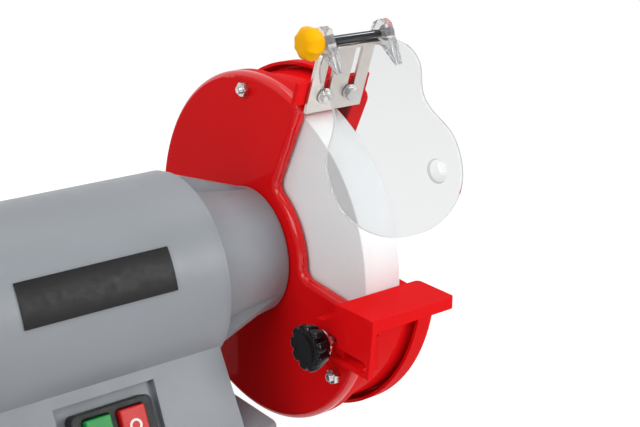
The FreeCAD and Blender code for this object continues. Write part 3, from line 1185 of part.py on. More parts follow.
def post_centres():
    """The four posts inside the corners of the foot box."""
    inset = "(sizes.column_wall + sizes.post_inset)"
    x, y = f"({FOOT_HALF_LENGTH} - {inset})", f"({FOOT_HALF_DEPTH} - {inset})"
    return [(x, y), (f"-{x}", y), (x, f"-{y}"), (f"-{x}", f"-{y}")]


def bottom_plate(label):
    body = new_body(label)
    margin = "(sizes.column_wall + sizes.running_gap)"
    side, front = f"({FOOT_HALF_LENGTH} - {margin})", f"({FOOT_HALF_DEPTH} - {margin})"
    sketch = sketch_on(body, "XY_Plane", "plate", "sizes.bottom_plate_inset")
    rectangle(sketch, f"-{side}", side, f"-{front}", front)
    for across, up in post_centres():
        circle(sketch, across, up, "(sizes.bottom_screw_radius + sizes.bearing_fit)")
    pad(body, sketch, "sizes.bottom_plate_thickness")
    return body


def on_slope(label):
    """Empty body whose XY plane is the recess floor at its middle, Z pointing out of it."""
    y = f"(sizes.recess_depth - {COLUMN_FOOT_HALF} + {SWITCH_UP} * {COLUMN_SLOPE})"
    z = f"(sizes.foot_height + {SWITCH_UP})"
    return new_body(label, y=y, z=z, turn=f"90 deg - atan({COLUMN_SLOPE})")


def is_along_z(edge):
    return edge.BoundBox.XLength + edge.BoundBox.YLength < 0.01


def switch_housing(label):
    """Housing of the two push buttons."""
    body = on_slope(label)
    sketch = sketch_on(body, "XY_Plane", "block")
    half_width, half_height = "sizes.switch_width / 2", "sizes.switch_height / 2"
    rectangle(sketch, f"-{half_width}", half_width, f"-{half_height}", half_height)
    pad(body, sketch, "sizes.switch_thickness")
    round_edges(body, "sizes.switch_corner", is_along_z, "corners")
    well_width = "(sizes.button_width / 2 + sizes.running_gap)"
    well_height = "(sizes.button_height / 2 + sizes.running_gap)"
    sketch = sketch_on(body, "XY_Plane", "wells", "sizes.switch_thickness")
    for middle in ("-sizes.button_spacing / 2", "sizes.button_spacing / 2"):
        left, right = f"({middle} - {well_width})", f"({middle} + {well_width})"
        rectangle(sketch, left, right, f"-{well_height}", well_height)
    pocket(body, sketch, "(sizes.switch_thickness - sizes.switch_floor)")
    return body


def push_button(label, side):
    body = on_slope(label)
    middle = mirrored(side, "sizes.button_spacing / 2")
    back = "(sizes.switch_floor + sizes.button_travel + sizes.running_gap)"
    sketch = sketch_on(body, "XY_Plane", "cap", back)
    half_height = "sizes.button_height / 2"
    rectangle(sketch, f"({middle} - sizes.button_width / 2)", f"({middle} + sizes.button_width / 2)",
              f"-{half_height}", half_height)
    pad(body, sketch, f"(sizes.switch_thickness + sizes.button_proud - {back})")
    return body


def cable_gland(label):
    """Gland in the rear wall of the foot, with its lock nut inside."""
    place = along(number("sizes.gland_across_foot"), number(FOOT_HALF_DEPTH), number("sizes.gland_height"),
                  Vector(0, 1, 0))
    inside = "-(sizes.column_wall + sizes.gland_hex)"
    pieces = [
        solid_bar(f"{label}_thread", place, "sizes.gland_radius", inside, f"-({inside})"),
        hex_bar(f"{label}_lock_nut", place, "sizes.gland_across", inside, "sizes.gland_hex"),
        hex_bar(f"{label}_hex", place, "sizes.gland_across", "0", "sizes.gland_hex"),
        solid_bar(f"{label}_cap", place, "sizes.gland_radius", "sizes.gland_hex", "sizes.gland_cap"),
    ]
    bore = solid_bar(f"{label}_bore", place, "sizes.gland_bore", "-40", "100")
    whole = cut(label, fused(f"{label}_blank", pieces), bore)
    whole.Label = label
    return whole


def run_capacitor(label):
    floor = "(sizes.bottom_plate_inset + sizes.bottom_plate_thickness)"
    half = "sizes.capacitor_length / 2"
    return ring(label, f"-{half}", half, "0", "sizes.capacitor_radius", y=f"({FOOT_HALF_DEPTH} / 3)",
                z=f"({floor} + sizes.capacitor_radius)")


def terminal_block(label):
    body = new_body(label)
    sketch = sketch_on(body, "XY_Plane", "block", "(sizes.bottom_plate_inset + sizes.bottom_plate_thickness)")
    half = "sizes.terminal_length / 2"
    near = f"(-{FOOT_HALF_DEPTH} / 2)"
    rectangle(sketch, f"-{half}", half, near, f"({near} + sizes.terminal_width)")
    pad(body, sketch, "sizes.terminal_height")
    return body


def blank_plate(label):
    """Plain plate rolled to the front of the barrel."""
    sweep = "(sizes.plate_height / sizes.barrel_radius * 180 / pi)"
    half = "sizes.plate_length / 2"
    inside = "(sizes.barrel_radius + sizes.running_gap)"
    outside = f"({inside} + sizes.plate_thickness)"
    return ring(label, f"-{half}", half, inside, outside, angle=sweep,
                turn=f"(90 - sizes.plate_angle - {sweep} / 2)")


def around_spindle(side, x, circle_radius, angle):
    """Placement on a circle about the spindle, Z pointing towards the machine's middle."""
    across, up = polar(circle_radius, angle)
    return along(side * number(x), number(across), number(up) + number(SPINDLE), Vector(-side, 0, 0))


def screw(name, place, radius, length, head_radius, head_height):
    """Round-headed screw, its head before the placement and its shank along Z."""
    shank = solid_bar(f"{name}_shank", place, radius, "0", length)
    head = solid_bar(f"{name}_head", place, head_radius, f"-({head_height})", head_height)
    return fused(name, [shank, head])


def ring_of_screws(label, x, circle_radius, angles, radius, length, head_radius, head_height):
    screws = []
    for name, side in SIDES:
        for angle in angles:
            place = around_spindle(side, x, circle_radius, angle)
            screw_name = f"{label}_{name}_{len(screws)}"
            screws.append(screw(screw_name, place, radius, length, head_radius, head_height))
    return group(label, screws)


def wall_bolts(label):
    """Bolts and nuts that hold the drums to the inner guard walls."""
    pieces = []
    radius = "sizes.wall_bolt_radius"
    across = "sizes.wall_nut_across"
    head_x = f"({WALL_INSIDE_X} + sizes.inner_lug_thickness)"
    nut_start = "(sizes.inner_lug_thickness + sizes.guard_sheet)"
    length = f"({nut_start} + sizes.wall_nut_height + sizes.wall_bolt_past_nut)"
    for name, side in SIDES:
        for angle in LUG_ANGLES:
            place = around_spindle(side, head_x, LUG_CIRCLE, angle)
            bolt_name = f"{label}_{name}_{len(pieces)}"
            pieces.append(screw(bolt_name, place, radius, length, "sizes.wall_bolt_head_radius",
                                "sizes.wall_bolt_head_height"))
            nut = hex_bar(f"{bolt_name}_hex", place, across, nut_start, "sizes.wall_nut_height")
            thread = solid_bar(f"{bolt_name}_thread", place, radius, "0", length)
            pieces.append(cut(f"{bolt_name}_nut", nut, thread))
    return group(label, pieces)


def bracket_bolts(label):
    """Bolts with washer and nut that clamp the shield brackets to their seats."""
    pieces = []
    turn = Rotation(Vector(1, 0, 0), number(BRACKET_TURN))
    radius = "sizes.bracket_bolt_radius"
    across = "sizes.bracket_bolt_across"
    washer_end = "(sizes.running_gap + sizes.bracket_washer_thickness)"
    nut_end = "-(sizes.bracket_sheet + sizes.running_gap + sizes.seat_sheet)"
    nut_start = f"({nut_end} - sizes.bracket_nut_height)"
    for bolt_x in bolt_across(1) + bolt_across(-1):
        spot = Vector(number(bolt_x), number(BRACKET_Y), number(BRACKET_Z))
        place = Placement(spot + turn.multVec(Vector(0, number("sizes.bracket_bolt_up"), 0)), turn)
        name = f"{label}_{len(pieces)}"
        shank = solid_bar(f"{name}_shank", place, radius, nut_start, f"({washer_end} - {nut_start})")
        head = hex_bar(f"{name}_head", place, across, washer_end, "sizes.bracket_bolt_head")
        pieces.append(fused(name, [shank, head]))
        disc = solid_bar(f"{name}_disc", place, "sizes.bracket_washer_radius", "sizes.running_gap",
                         "sizes.bracket_washer_thickness")
        nut = hex_bar(f"{name}_hex", place, across, nut_start, "sizes.bracket_nut_height")
        for blank in (disc, nut):
            hole = solid_bar(f"{blank.Name}_hole", place, radius, "-50", "100")
            pieces.append(cut(f"{blank.Name}_bored", blank, hole))
    return group(label, pieces)


def bottom_screws(label):
    screws = []
    for across, up in post_centres():
        place = along(number(across), number(up), number("sizes.bottom_plate_inset"), Vector(0, 0, 1))
        screws.append(screw(f"{label}_{len(screws)}", place, "sizes.bottom_screw_radius",
                            "sizes.bottom_screw_length", "sizes.bottom_screw_head_radius",
                            "sizes.bottom_screw_head_height"))
    return group(label, screws)


nodes = [
    motor_barrel("motor_barrel"),
    pedestal("pedestal"),
    bottom_plate("bottom_plate"),
    bottom_screws("bottom_plate_screws"),
    ring_of_screws("bell_screws", f"({BARREL_END} + sizes.bell_flange_thickness)", BELL_SCREW_CIRCLE,
                   BELL_SCREW_ANGLES, "sizes.bell_screw_radius", "sizes.bell_screw_length",
                   "sizes.bell_screw_head_radius", "sizes.bell_screw_head_height"),
    stator_core("stator_core"),
    stator_windings("stator_windings"),
    bearing_rings("bearing_outer_rings", "(sizes.bearing_outer_radius - sizes.bearing_ring)",
                  "sizes.bearing_outer_radius"),
    bearing_balls("bearing_balls"),
    ring("wave_washer", f"-{BEARING_STOP_X}", f"(sizes.wave_washer_thickness - {BEARING_STOP_X})",
         "(sizes.bearing_outer_radius - sizes.bearing_ring)",
         "(sizes.bearing_outer_radius - sizes.running_gap)"),
    run_capacitor("run_capacitor"),
    terminal_block("terminal_block"),
    switch_housing("switch_housing"),
    push_button("start_button", -1),
    push_button("stop_button", 1),
    cable_gland("cable_gland"),
    blank_plate("blank_plate"),
    ring_of_screws("guard_screws", WALL_INSIDE_X, "sizes.guard_screw_circle", SCREW_ANGLES,
                   "sizes.guard_screw_radius", "(sizes.guard_sheet + sizes.guard_screw_length)",
                   "sizes.guard_screw_head_radius", "sizes.guard_screw_head_height"),
    ring_of_screws("cover_screws", COVER_X, LUG_CIRCLE, LUG_ANGLES, "sizes.cover_screw_radius",
                   "(sizes.cover_sheet + sizes.outer_lug_thickness)", "sizes.cover_screw_head_radius",
                   "sizes.cover_screw_head_height"),
    wall_bolts("wall_bolts"),
    bracket_bolts("bracket_bolts"),
    spindle("spindle"),
    ring("rotor_core", "-sizes.stator_length / 2", "sizes.stator_length / 2", "sizes.shaft_core_radius",
         "(sizes.stator_bore_radius - sizes.air_gap)"),
    bearing_rings("bearing_inner_rings", "sizes.bearing_bore_radius",
                  "(sizes.bearing_bore_radius + sizes.bearing_ring)"),
    blotters("wheel_blotters"),
    group("outer_flanges", [outer_flange(f"{name}_outer_flange", side) for name, side in SIDES]),
    group("wheel_nuts", [wheel_nut(f"{name}_wheel_nut", side) for name, side in SIDES]),
]
for name, side in SIDES:
    nodes += [
        end_bell(f"{name}_end_bell", side),
        guard_wall(f"{name}_guard_wall", side),
        guard_drum(f"{name}_guard_drum", side),
        guard_cover(f"{name}_guard_cover", side),
        wheel(f"{name}_wheel", side),
        inner_flange(f"{name}_inner_flange", side),
        shield_seat(f"{name}_shield_seat", side),
        shield_bracket(f"{name}_shield_bracket", side),
        shield_rod(f"{name}_shield_rod", side),
        shield_clips(f"{name}_shield_clips", side),
        shield_pane(f"{name}_shield_pane", side),
        clamp_knob(f"{name}_clamp_knob", side),
        tool_rest(f"{name}_tool_rest", side),
        rest_mount(f"{name}_rest_mount", side),
        rest_knob(f"{name}_rest_knob", side),
        rest_stud(f"{name}_rest_stud", side),
    ]

doc.recompute()
for item in doc.Objects:
    if "Invalid" in item.State or "Error" in item.State:
        raise RuntimeError(f"{item.Name} did not build: {item.State}")
os.makedirs("parts", exist_ok=True)
for node in nodes:
    if node.Shape.isNull() or not node.Shape.isValid():
        raise RuntimeError(f"{node.Label} has no valid shape")
    node.Shape.exportStep(f"parts/{node.Label}.step")
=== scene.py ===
import json
import math

import bmesh
import bpy
from bpy.props import FloatProperty, FloatVectorProperty, IntProperty, PointerProperty
from mathutils import Matrix, Vector

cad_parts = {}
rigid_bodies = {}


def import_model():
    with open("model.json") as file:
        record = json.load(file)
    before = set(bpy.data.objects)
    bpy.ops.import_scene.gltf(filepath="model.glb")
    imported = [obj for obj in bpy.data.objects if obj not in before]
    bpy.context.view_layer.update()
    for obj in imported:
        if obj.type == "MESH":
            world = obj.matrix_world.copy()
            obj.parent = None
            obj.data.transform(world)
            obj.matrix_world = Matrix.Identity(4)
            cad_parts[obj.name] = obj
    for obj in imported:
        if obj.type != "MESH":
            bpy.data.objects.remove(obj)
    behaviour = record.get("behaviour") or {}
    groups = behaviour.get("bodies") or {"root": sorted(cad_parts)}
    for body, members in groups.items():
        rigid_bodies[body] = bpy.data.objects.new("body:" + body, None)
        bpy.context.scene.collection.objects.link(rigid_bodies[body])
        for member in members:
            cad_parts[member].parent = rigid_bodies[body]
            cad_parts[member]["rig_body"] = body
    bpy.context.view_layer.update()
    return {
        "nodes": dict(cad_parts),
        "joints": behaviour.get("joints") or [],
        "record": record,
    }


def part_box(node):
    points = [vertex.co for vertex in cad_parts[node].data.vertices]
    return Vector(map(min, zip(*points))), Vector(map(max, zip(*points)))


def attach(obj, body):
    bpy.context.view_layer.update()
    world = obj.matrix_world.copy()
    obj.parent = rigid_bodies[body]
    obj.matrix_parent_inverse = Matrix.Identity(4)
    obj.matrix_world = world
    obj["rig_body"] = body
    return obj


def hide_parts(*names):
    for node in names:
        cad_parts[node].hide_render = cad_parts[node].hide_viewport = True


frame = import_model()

bl_info = {
    "name": "Bench Grinder Finish",
    "version": (1, 0, 0),
    "blender": (4, 5, 0),
    "location": "View3D > Sidebar > Grinder",
    "description": "Enamel, abrasive, plastics and small fittings of a double-ended bench grinder",
    "category": "Object",
}

SIDES = {"right": 1.0, "left": -1.0}
JOINTS = {joint["name"]: joint for joint in frame["joints"]}
SLOT_OF = {part["node"]: part["material_slot"] for part in frame["record"]["subparts"]}
SEAM = 2e-6
WELD = 1e-7
LOBE_STEPS = 24
SPINDLE = Vector((1.0, 0.0, 0.0))
DOWN = Vector((0.0, 0.0, -1.0))
WHITE = (1.0, 1.0, 1.0, 1.0)

# Angles in degrees: faces this flat are one, edges from here on are rounded, or are shaded sharp
FLAT, EDGE = 0.8, 38.0
CRISP, CURVED, SOFT, ROUNDED, LOBED = 30.0, 32.0, 35.0, 40.0, 42.0

# How the grain of a metal is stretched along X, Y and Z
EVEN = (1.0, 1.0, 1.0)
DRAWN = (0.04, 1.0, 1.0)
ROLLED = (1.0, 0.05, 0.05)
TURNED = (8.0, 0.2, 0.2)

# Studio: places and sizes in metres, and the camera that was fitted to the photograph
LAMP_AIM = Vector((0.08, 0.0, 0.16))
LAMPS = {
    "key": ((0.80, -1.45, 0.80), (0.6, 0.6)),
    "fill": ((-1.20, -0.75, 1.05), (1.2, 0.9)),
    "top": ((0.0, 0.15, 1.70), (1.4, 1.0)),
    "glint": ((1.00, -0.25, 1.33), (0.25, 0.25)),
}
FLOOR_REACH = 8.0
FLOOR_DROP = 0.0003
CAMERA_PLACE = (-0.26756, -0.58499, 0.41499)
CAMERA_YAW = math.radians(37.68)
CAMERA_PITCH = math.radians(-18.92)
CAMERA_ROLL = math.radians(0.28)
LENS = 69.035
SENSOR = 36.0


# Settings

def colour(name, description, default):
    return FloatVectorProperty(
        name=name, description=description, subtype="COLOR", size=3, min=0.0, max=1.0, default=default)


def level(name, description, default, **kind):
    return FloatProperty(name=name, description=description, default=default, min=0.0, **kind)


def length(name, description, default):
    return level(name, description, default, subtype="DISTANCE", unit="LENGTH", precision=5)


def power(name, description, default):
    return level(name, description, default, subtype="POWER", unit="POWER")


def count(name, description, default):
    return IntProperty(name=name, description=description, default=default, min=3)


class GrinderColours(bpy.types.PropertyGroup):
    """Colours of the grinder's finishes"""
    red: colour("Red enamel", "Guards, tool rests and their mounts", (0.76, 0.006, 0.008))
    grey: colour("Grey enamel", "Motor barrel, end bells and pedestal", (0.270, 0.290, 0.312))
    abrasive: colour("Abrasive", "Grinding wheels", (0.90, 0.925, 0.93))
    zinc: colour("Zinc plate", "Fasteners and wheel flanges", (0.64, 0.64, 0.63))
    bracket: colour("Bracket sheet", "Shield brackets", (0.70, 0.655, 0.615))
    knob: colour("Knob black", "Star knobs of the tool rests", (0.004, 0.004, 0.005))
    clamp: colour("Clamp yellow", "Clamp knobs of the eye shields", (0.98, 0.47, 0.002))
    pane: colour("Clear plastic", "Eye shields and their clips", (0.79, 0.795, 0.80))
    plate: colour("Blank plate", "Plain plate on the barrel", (0.012, 0.012, 0.013))


class GrinderSizes(bpy.types.PropertyGroup):
    """Small forms that the finish adds to the grinder"""
    casting_round: length("Casting edges", "Rounding of cast edges", 0.0012)
    sheet_round: length("Sheet edges", "Rounding of sheet metal edges", 0.0004)
    rest_round: length("Rest edges", "Rounding of the tool rests", 0.0007)
    plastic_round: length("Moulded edges", "Rounding of moulded plastic", 0.0009)
    star_lobes: count("Star knob lobes", "Lobes around a star knob", 9)
    star_valley: length("Star knob valleys", "Depth of the valleys between the lobes", 0.0024)
    star_hub: length("Star knob hub", "Length of the hub behind a star knob's head", 0.0024)
    star_hub_radius: length("Star knob hub radius", "Radius of the hub of a star knob", 0.0070)
    clamp_facets: count("Clamp knob facets", "Soft facets of a clamp knob", 8)
    clamp_valley: length("Clamp knob valleys", "Depth of the facets of a clamp knob", 0.0009)
    clamp_radius: length("Clamp knob radius", "Radius of a clamp knob over its facets", 0.0096)
    thread_pitch: length("Thread pitch", "Pitch of the threads that show", 0.0008)


class GrinderStage(bpy.types.PropertyGroup):
    """Studio around the grinder"""
    key: power("Key light", "Soft light at the front right", 11.4)
    fill: power("Fill light", "Large soft light at the left", 10.5)
    top: power("Top light", "Soft light overhead", 6.5)
    glint: power("Glint light", "Small light at the upper right that draws streaks on knobs", 3.0)
    ambient: level("Ambient", "Even light from all around", 0.42)
    room: level("Room", "Brightness of the room behind the camera in mirrors", 0.35)
    floor: colour("Floor", "Plain pale floor", (0.80, 0.80, 0.80))


# Node helpers

def feed(tree, target, source):
    """Links a socket, or writes a plain value, into an input."""
    if isinstance(source, bpy.types.NodeSocket):
        tree.links.new(source, target)
    else:
        target.default_value = source


def feed_all(tree, node, inputs):
    for key, source in inputs.items():
        feed(tree, node.inputs[key], source)


def put(tree, kind, inputs=None, **settings):
    """New node with its settings, then its inputs by name or number."""
    node = tree.nodes.new(kind)
    for key, value in settings.items():
        setattr(node, key, value)
    feed_all(tree, node, inputs or {})
    return node


def sums(tree, operation, first, second=0.0, clamp=False):
    return put(tree, "ShaderNodeMath", {0: first, 1: second}, operation=operation, use_clamp=clamp).outputs[0]


def noise(tree, where, scale, detail=3.0, rough=0.5):
    inputs = {"Vector": where, "Scale": scale, "Detail": detail, "Roughness": rough}
    return put(tree, "ShaderNodeTexNoise", inputs).outputs["Fac"]


def spread(tree, value, low, high, to_low, to_high):
    """Value moved from one range to another."""
    inputs = {"Value": value, "From Min": low, "From Max": high, "To Min": to_low, "To Max": to_high}
    return put(tree, "ShaderNodeMapRange", inputs).outputs["Result"]


def blend(tree, factor, first, second):
    return put(tree, "ShaderNodeMix", {0: factor, 6: first, 7: second}, data_type="RGBA").outputs[2]


def vectors(tree, operation, inputs):
    return put(tree, "ShaderNodeVectorMath", inputs, operation=operation).outputs


def here(tree):
    return put(tree, "ShaderNodeTexCoord").outputs["Object"]


def darker(tree, shade, drop):
    value = sums(tree, "SUBTRACT", 1.0, drop)
    return put(tree, "ShaderNodeHueSaturation", {"Color": shade, "Value": value}).outputs["Color"]


def opaque(shade, share=1.0):
    """A share of a colour, with full alpha."""
    return (*(share * part for part in shade[:3]), 1.0)


def new_tree(kind, name, inputs, outputs):
    """Empty node tree with named sockets, and its end nodes."""
    tree = bpy.data.node_groups.new(name, kind)
    for label, socket_kind, *default in inputs:
        socket = tree.interface.new_socket(label, in_out="INPUT", socket_type=f"NodeSocket{socket_kind}")
        if default:
            socket.default_value = default[0]
    for label, socket_kind in outputs:
        tree.interface.new_socket(label, in_out="OUTPUT", socket_type=f"NodeSocket{socket_kind}")
    return tree, put(tree, "NodeGroupInput"), put(tree, "NodeGroupOutput")


def tree_named(name, build):
    return bpy.data.node_groups.get(name) or build(name)


# Materials

def paint_film_group(name):
    """Sprayed or moulded skin: slow colour drift, sheen patches and fine peel."""
    tree, start, end = new_tree("ShaderNodeTree", name, [
        ("Shade", "Color", (0.5, 0.5, 0.5, 1.0)), ("Drift", "Float", 0.06),
        ("Patch Scale", "Float", 30.0), ("Peel Scale", "Float", 900.0),
    ], [("Colour", "Color"), ("Sheen", "Float"), ("Peel", "Float")])
    given, where = start.outputs, here(tree)
    patches = spread(tree, noise(tree, where, given["Patch Scale"], 4.0), 0.35, 0.65, 0.0, 1.0)
    drifted = darker(tree, given["Shade"], given["Drift"])
    sheen_scale = sums(tree, "MULTIPLY", given["Patch Scale"], 6.0)
    feed_all(tree, end, {
        "Colour": blend(tree, patches, given["Shade"], drifted),
        "Sheen": noise(tree, where, sheen_scale, 5.0, 0.6),
        "Peel": noise(tree, where, given["Peel Scale"], 2.0),
    })
    return tree


def worked_metal_group(name):
    """Plated, rolled or turned metal: streaks along one direction and small stains."""
    tree, start, end = new_tree("ShaderNodeTree", name, [
        ("Shade", "Color", (0.6, 0.6, 0.6, 1.0)), ("Stain", "Float", 0.12),
        ("Stretch", "Vector", EVEN), ("Grain Scale", "Float", 1500.0),
    ], [("Colour", "Color"), ("Polish", "Float"), ("Grain", "Float")])
    given, where = start.outputs, here(tree)
    stretched = vectors(tree, "MULTIPLY", {0: where, 1: given["Stretch"]})[0]
    grain = noise(tree, stretched, given["Grain Scale"], 3.0)
    stains = noise(tree, where, 140.0, 5.0, 0.6)
    spots = spread(tree, stains, 0.4, 0.7, 0.0, 1.0)
    streaks = spread(tree, grain, 0.3, 0.7, 0.4, 1.0)
    mask = sums(tree, "MULTIPLY", spots, streaks)
    stained = darker(tree, given["Shade"], given["Stain"])
    halves = [sums(tree, "MULTIPLY", part, 0.5) for part in (stains, grain)]
    feed_all(tree, end, {
        "Colour": blend(tree, mask, given["Shade"], stained),
        "Polish": sums(tree, "ADD", *halves),
        "Grain": grain,
    })
    return tree


def blank_material(name):
    """New material with only a Principled BSDF and its output: its tree and that shader."""
    material = bpy.data.materials.new(name)
    material.use_nodes = True
    tree = material.node_tree
    tree.nodes.clear()
    shader = put(tree, "ShaderNodeBsdfPrincipled")
    put(tree, "ShaderNodeOutputMaterial", {"Surface": shader.outputs[0]})
    return tree, shader


def raise_surface(tree, shader, height, depth, strength=1.0):
    """Fine relief of a given depth in metres."""
    bump = put(tree, "ShaderNodeBump", {"Strength": strength, "Distance": depth, "Height": height})
    feed(tree, shader.inputs["Normal"], bump.outputs["Normal"])


def from_group(name, group, inputs, rough, depth, look):
    """Material from a shared group, which gives its colour, its sheen and its relief."""
    tree, shader = blank_material(name)
    shade, sheen, relief = put(tree, "ShaderNodeGroup", inputs, node_tree=group).outputs
    feed_all(tree, shader, {"Base Color": shade, "Roughness": spread(tree, sheen, 0.3, 0.7, *rough), **look})
    raise_surface(tree, shader, relief, depth)


def coated(name, shade, rough, peel_scale, peel_depth, drift=0.06, patch_scale=30.0, specular=0.3, coat=0.0):
    """Painted or moulded surface, under a clear coat if asked."""
    group = tree_named("Paint Film", paint_film_group)
    inputs = {"Shade": opaque(shade), "Drift": drift, "Patch Scale": patch_scale, "Peel Scale": peel_scale}
    look = {"Specular IOR Level": specular}
    if coat:
        look.update({"Coat Weight": coat, "Coat Roughness": 0.06})
    from_group(name, group, inputs, rough, peel_depth, look)


def metal(name, shade, rough, stretch, grain_scale, grain_depth, stain=0.12):
    """Bare or plated metal."""
    group = tree_named("Worked Metal", worked_metal_group)
    inputs = {"Shade": opaque(shade), "Stain": stain, "Stretch": stretch, "Grain Scale": grain_scale}
    from_group(name, group, inputs, rough, grain_depth, {"Metallic": 1.0})


def abrasive_material(name, shade):
    """Bonded white grains with open pores."""
    tree, shader = blank_material(name)
    where = here(tree)
    voronoi = put(tree, "ShaderNodeTexVoronoi", {"Scale": 1500.0, "Vector": where}, feature="F1")
    grains = voronoi.outputs["Distance"]
    pores = noise(tree, where, 900.0, 4.0, 0.65)
    pits = spread(tree, sums(tree, "MULTIPLY", grains, pores), 0.10, 0.34, 0.0, 1.0)
    clouds = spread(tree, noise(tree, where, 22.0, 4.0), 0.35, 0.65, 0.0, 0.35)
    tone = blend(tree, clouds, opaque(shade), opaque(shade, 0.94))
    feed_all(tree, shader, {
        "Base Color": blend(tree, pits, tone, opaque(shade, 0.95)),
        "Roughness": spread(tree, pores, 0.3, 0.7, 0.78, 0.95),
        "Specular IOR Level": 0.15,
    })
    raise_surface(tree, shader, sums(tree, "ADD", grains, pores), 3e-5, 0.3)


def clear_material(name, shade, rough, bend, clear=1.0):
    """Clear moulding with faint rub marks, which lets the lamps through."""
    tree, shader = blank_material(name)
    haze = noise(tree, here(tree), 60.0, 4.0)
    feed_all(tree, shader, {
        "Base Color": blend(tree, haze, opaque(shade), opaque(shade, 0.985)),
        "Roughness": spread(tree, haze, 0.3, 0.7, *rough),
        "IOR": bend,
        "Transmission Weight": clear,
    })
    passing = put(tree, "ShaderNodeBsdfTransparent", {"Color": opaque(shade)})
    shadow = put(tree, "ShaderNodeLightPath").outputs["Is Shadow Ray"]
    either = put(tree, "ShaderNodeMixShader", {0: shadow, 1: shader.outputs[0], 2: passing.outputs[0]})
    feed(tree, tree.nodes["Material Output"].inputs["Surface"], either.outputs[0])


def banded(name, dark, light, rough, shine, depth, scale, waver=0.0):
    """Strands or thin sheets that lie side by side along X."""
    tree, shader = blank_material(name)
    inputs = {"Scale": scale, "Distortion": waver, "Vector": here(tree)}
    bands = put(tree, "ShaderNodeTexWave", inputs, wave_type="BANDS", bands_direction="X").outputs["Fac"]
    feed_all(tree, shader, {
        "Base Color": blend(tree, bands, opaque(dark), opaque(light)),
        "Roughness": spread(tree, bands, 0.0, 1.0, *rough),
        "Metallic": shine,
    })
    raise_surface(tree, shader, bands, depth)


def finish_table(paints):
    """Maker and settings of each material, by slot."""
    return {
        "grey_paint": (coated, paints.grey, (0.30, 0.42), 1100.0, 2e-5, 0.04, 18.0, 0.25),
        "red_paint": (coated, paints.red, (0.20, 0.28), 800.0, 6e-6, 0.03, 14.0, 0.0, 0.1),
        "red_lip": (coated, paints.red, (0.20, 0.28), 800.0, 6e-6, 0.03, 14.0, 0.0, 1.0),
        "abrasive": (abrasive_material, paints.abrasive),
        "zinc_steel": (metal, paints.zinc, (0.20, 0.36), EVEN, 900.0, 2e-5),
        "plate_steel": (metal, (0.52, 0.53, 0.54), (0.32, 0.48), DRAWN, 1800.0, 2e-5),
        "bracket_steel": (metal, paints.bracket, (0.30, 0.44), ROLLED, 1400.0, 1.2e-5, 0.06),
        "shaft_steel": (metal, (0.58, 0.58, 0.59), (0.18, 0.32), TURNED, 700.0, 1.5e-5),
        "bearing_steel": (metal, (0.66, 0.66, 0.67), (0.10, 0.20), EVEN, 1200.0, 5e-6),
        "rod_steel": (metal, (0.075, 0.077, 0.082), (0.06, 0.14), DRAWN, 1500.0, 8e-6, 0.2),
        "lamination": (banded, (0.20, 0.20, 0.21), (0.40, 0.40, 0.42), (0.5, 0.35), 0.9, 0.0001, 600.0),
        "winding": (banded, (0.22, 0.07, 0.02), (0.55, 0.22, 0.07), (0.45, 0.28), 0.8, 0.0003, 320.0, 2.5),
        "capacitor_case": (coated, (0.62, 0.62, 0.60), (0.35, 0.5), 1400.0, 3e-5),
        "terminal_plastic": (coated, (0.70, 0.66, 0.55), (0.4, 0.55), 1100.0, 4e-5),
        "black_plastic": (coated, (0.020, 0.020, 0.021), (0.40, 0.55), 1600.0, 6e-5, 0.2),
        "black_gloss": (coated, paints.knob, (0.14, 0.22), 900.0, 1e-5, 0.2, 40.0, 0.25),
        "yellow_plastic": (coated, paints.clamp, (0.30, 0.42), 1200.0, 1e-5, 0.04, 60.0, 0.06),
        "green_plastic": (coated, (0.010, 0.26, 0.050), (0.28, 0.40), 1200.0, 3e-5),
        "red_plastic": (coated, (0.55, 0.010, 0.010), (0.28, 0.40), 1200.0, 3e-5),
        "mark_white": (coated, (0.80, 0.80, 0.78), (0.40, 0.50), 1500.0, 1e-5),
        "dark_plate": (coated, paints.plate, (0.34, 0.46), 1500.0, 1e-5, 0.15, 40.0, 0.2),
        "blotter_paper": (coated, (0.10, 0.17, 0.36), (0.75, 0.9), 2200.0, 8e-5, 0.2, 300.0),
        "clear_plastic": (clear_material, paints.pane, (0.0, 0.02), 1.25),
        # Darker, less bending copy of the clear plastic for the rims of the panes and the sides of their
        # grips: painted shade for the dark lines that refraction draws along those edges
        "clear_edge": (clear_material, opaque(paints.pane, 0.55), (0.05, 0.10), 1.1),
        "clear_moulding": (clear_material, paints.pane, (0.03, 0.09), 1.3, 0.8),
    }


def finish_for(slot):
    """The material of a slot, made when it is first asked for."""
    name = f"grinder_{slot}"
    if name not in bpy.data.materials:
        make, *settings = finish_table(bpy.context.scene.grinder_colours)[slot]
        make(name, *settings)
    return bpy.data.materials[name]


# Mesh helpers

def add_object(name, content):
    piece = bpy.data.objects.new(name, content)
    bpy.context.scene.collection.objects.link(piece)
    return piece


def new_mesh(name, work):
    """Mesh made of a bmesh, which is then freed."""
    mesh = bpy.data.meshes.new(name)
    work.to_mesh(mesh)
    work.free()
    return mesh


def bake(piece):
    """Turns an object with modifiers into one with a plain mesh."""
    graph = bpy.context.evaluated_depsgraph_get()
    shown = piece.evaluated_get(graph)
    mesh = bpy.data.meshes.new_from_object(shown, preserve_all_data_layers=True, depsgraph=graph)
    piece.modifiers.clear()
    piece.data = mesh
    return piece


def smooth(mesh, angle):
    mesh.shade_smooth()
    mesh.set_sharp_from_angle(angle=math.radians(angle))


def round_edges(piece, **settings):
    rounding = piece.modifiers.new("rounded edges", "BEVEL")
    for key, value in settings.items():
        setattr(rounding, key, value)
    bake(piece)


def settle(piece, node, slot, *replaced):
    """Gives a piece its finish, the body of a CAD node and the nodes it stands for."""
    body = frame["nodes"][node]["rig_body"]
    piece.data.materials.clear()
    piece.data.materials.append(finish_for(slot))
    for face in piece.data.polygons:
        face.material_index = 0
    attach(piece, body)
    if replaced:
        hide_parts(*replaced)
    return piece


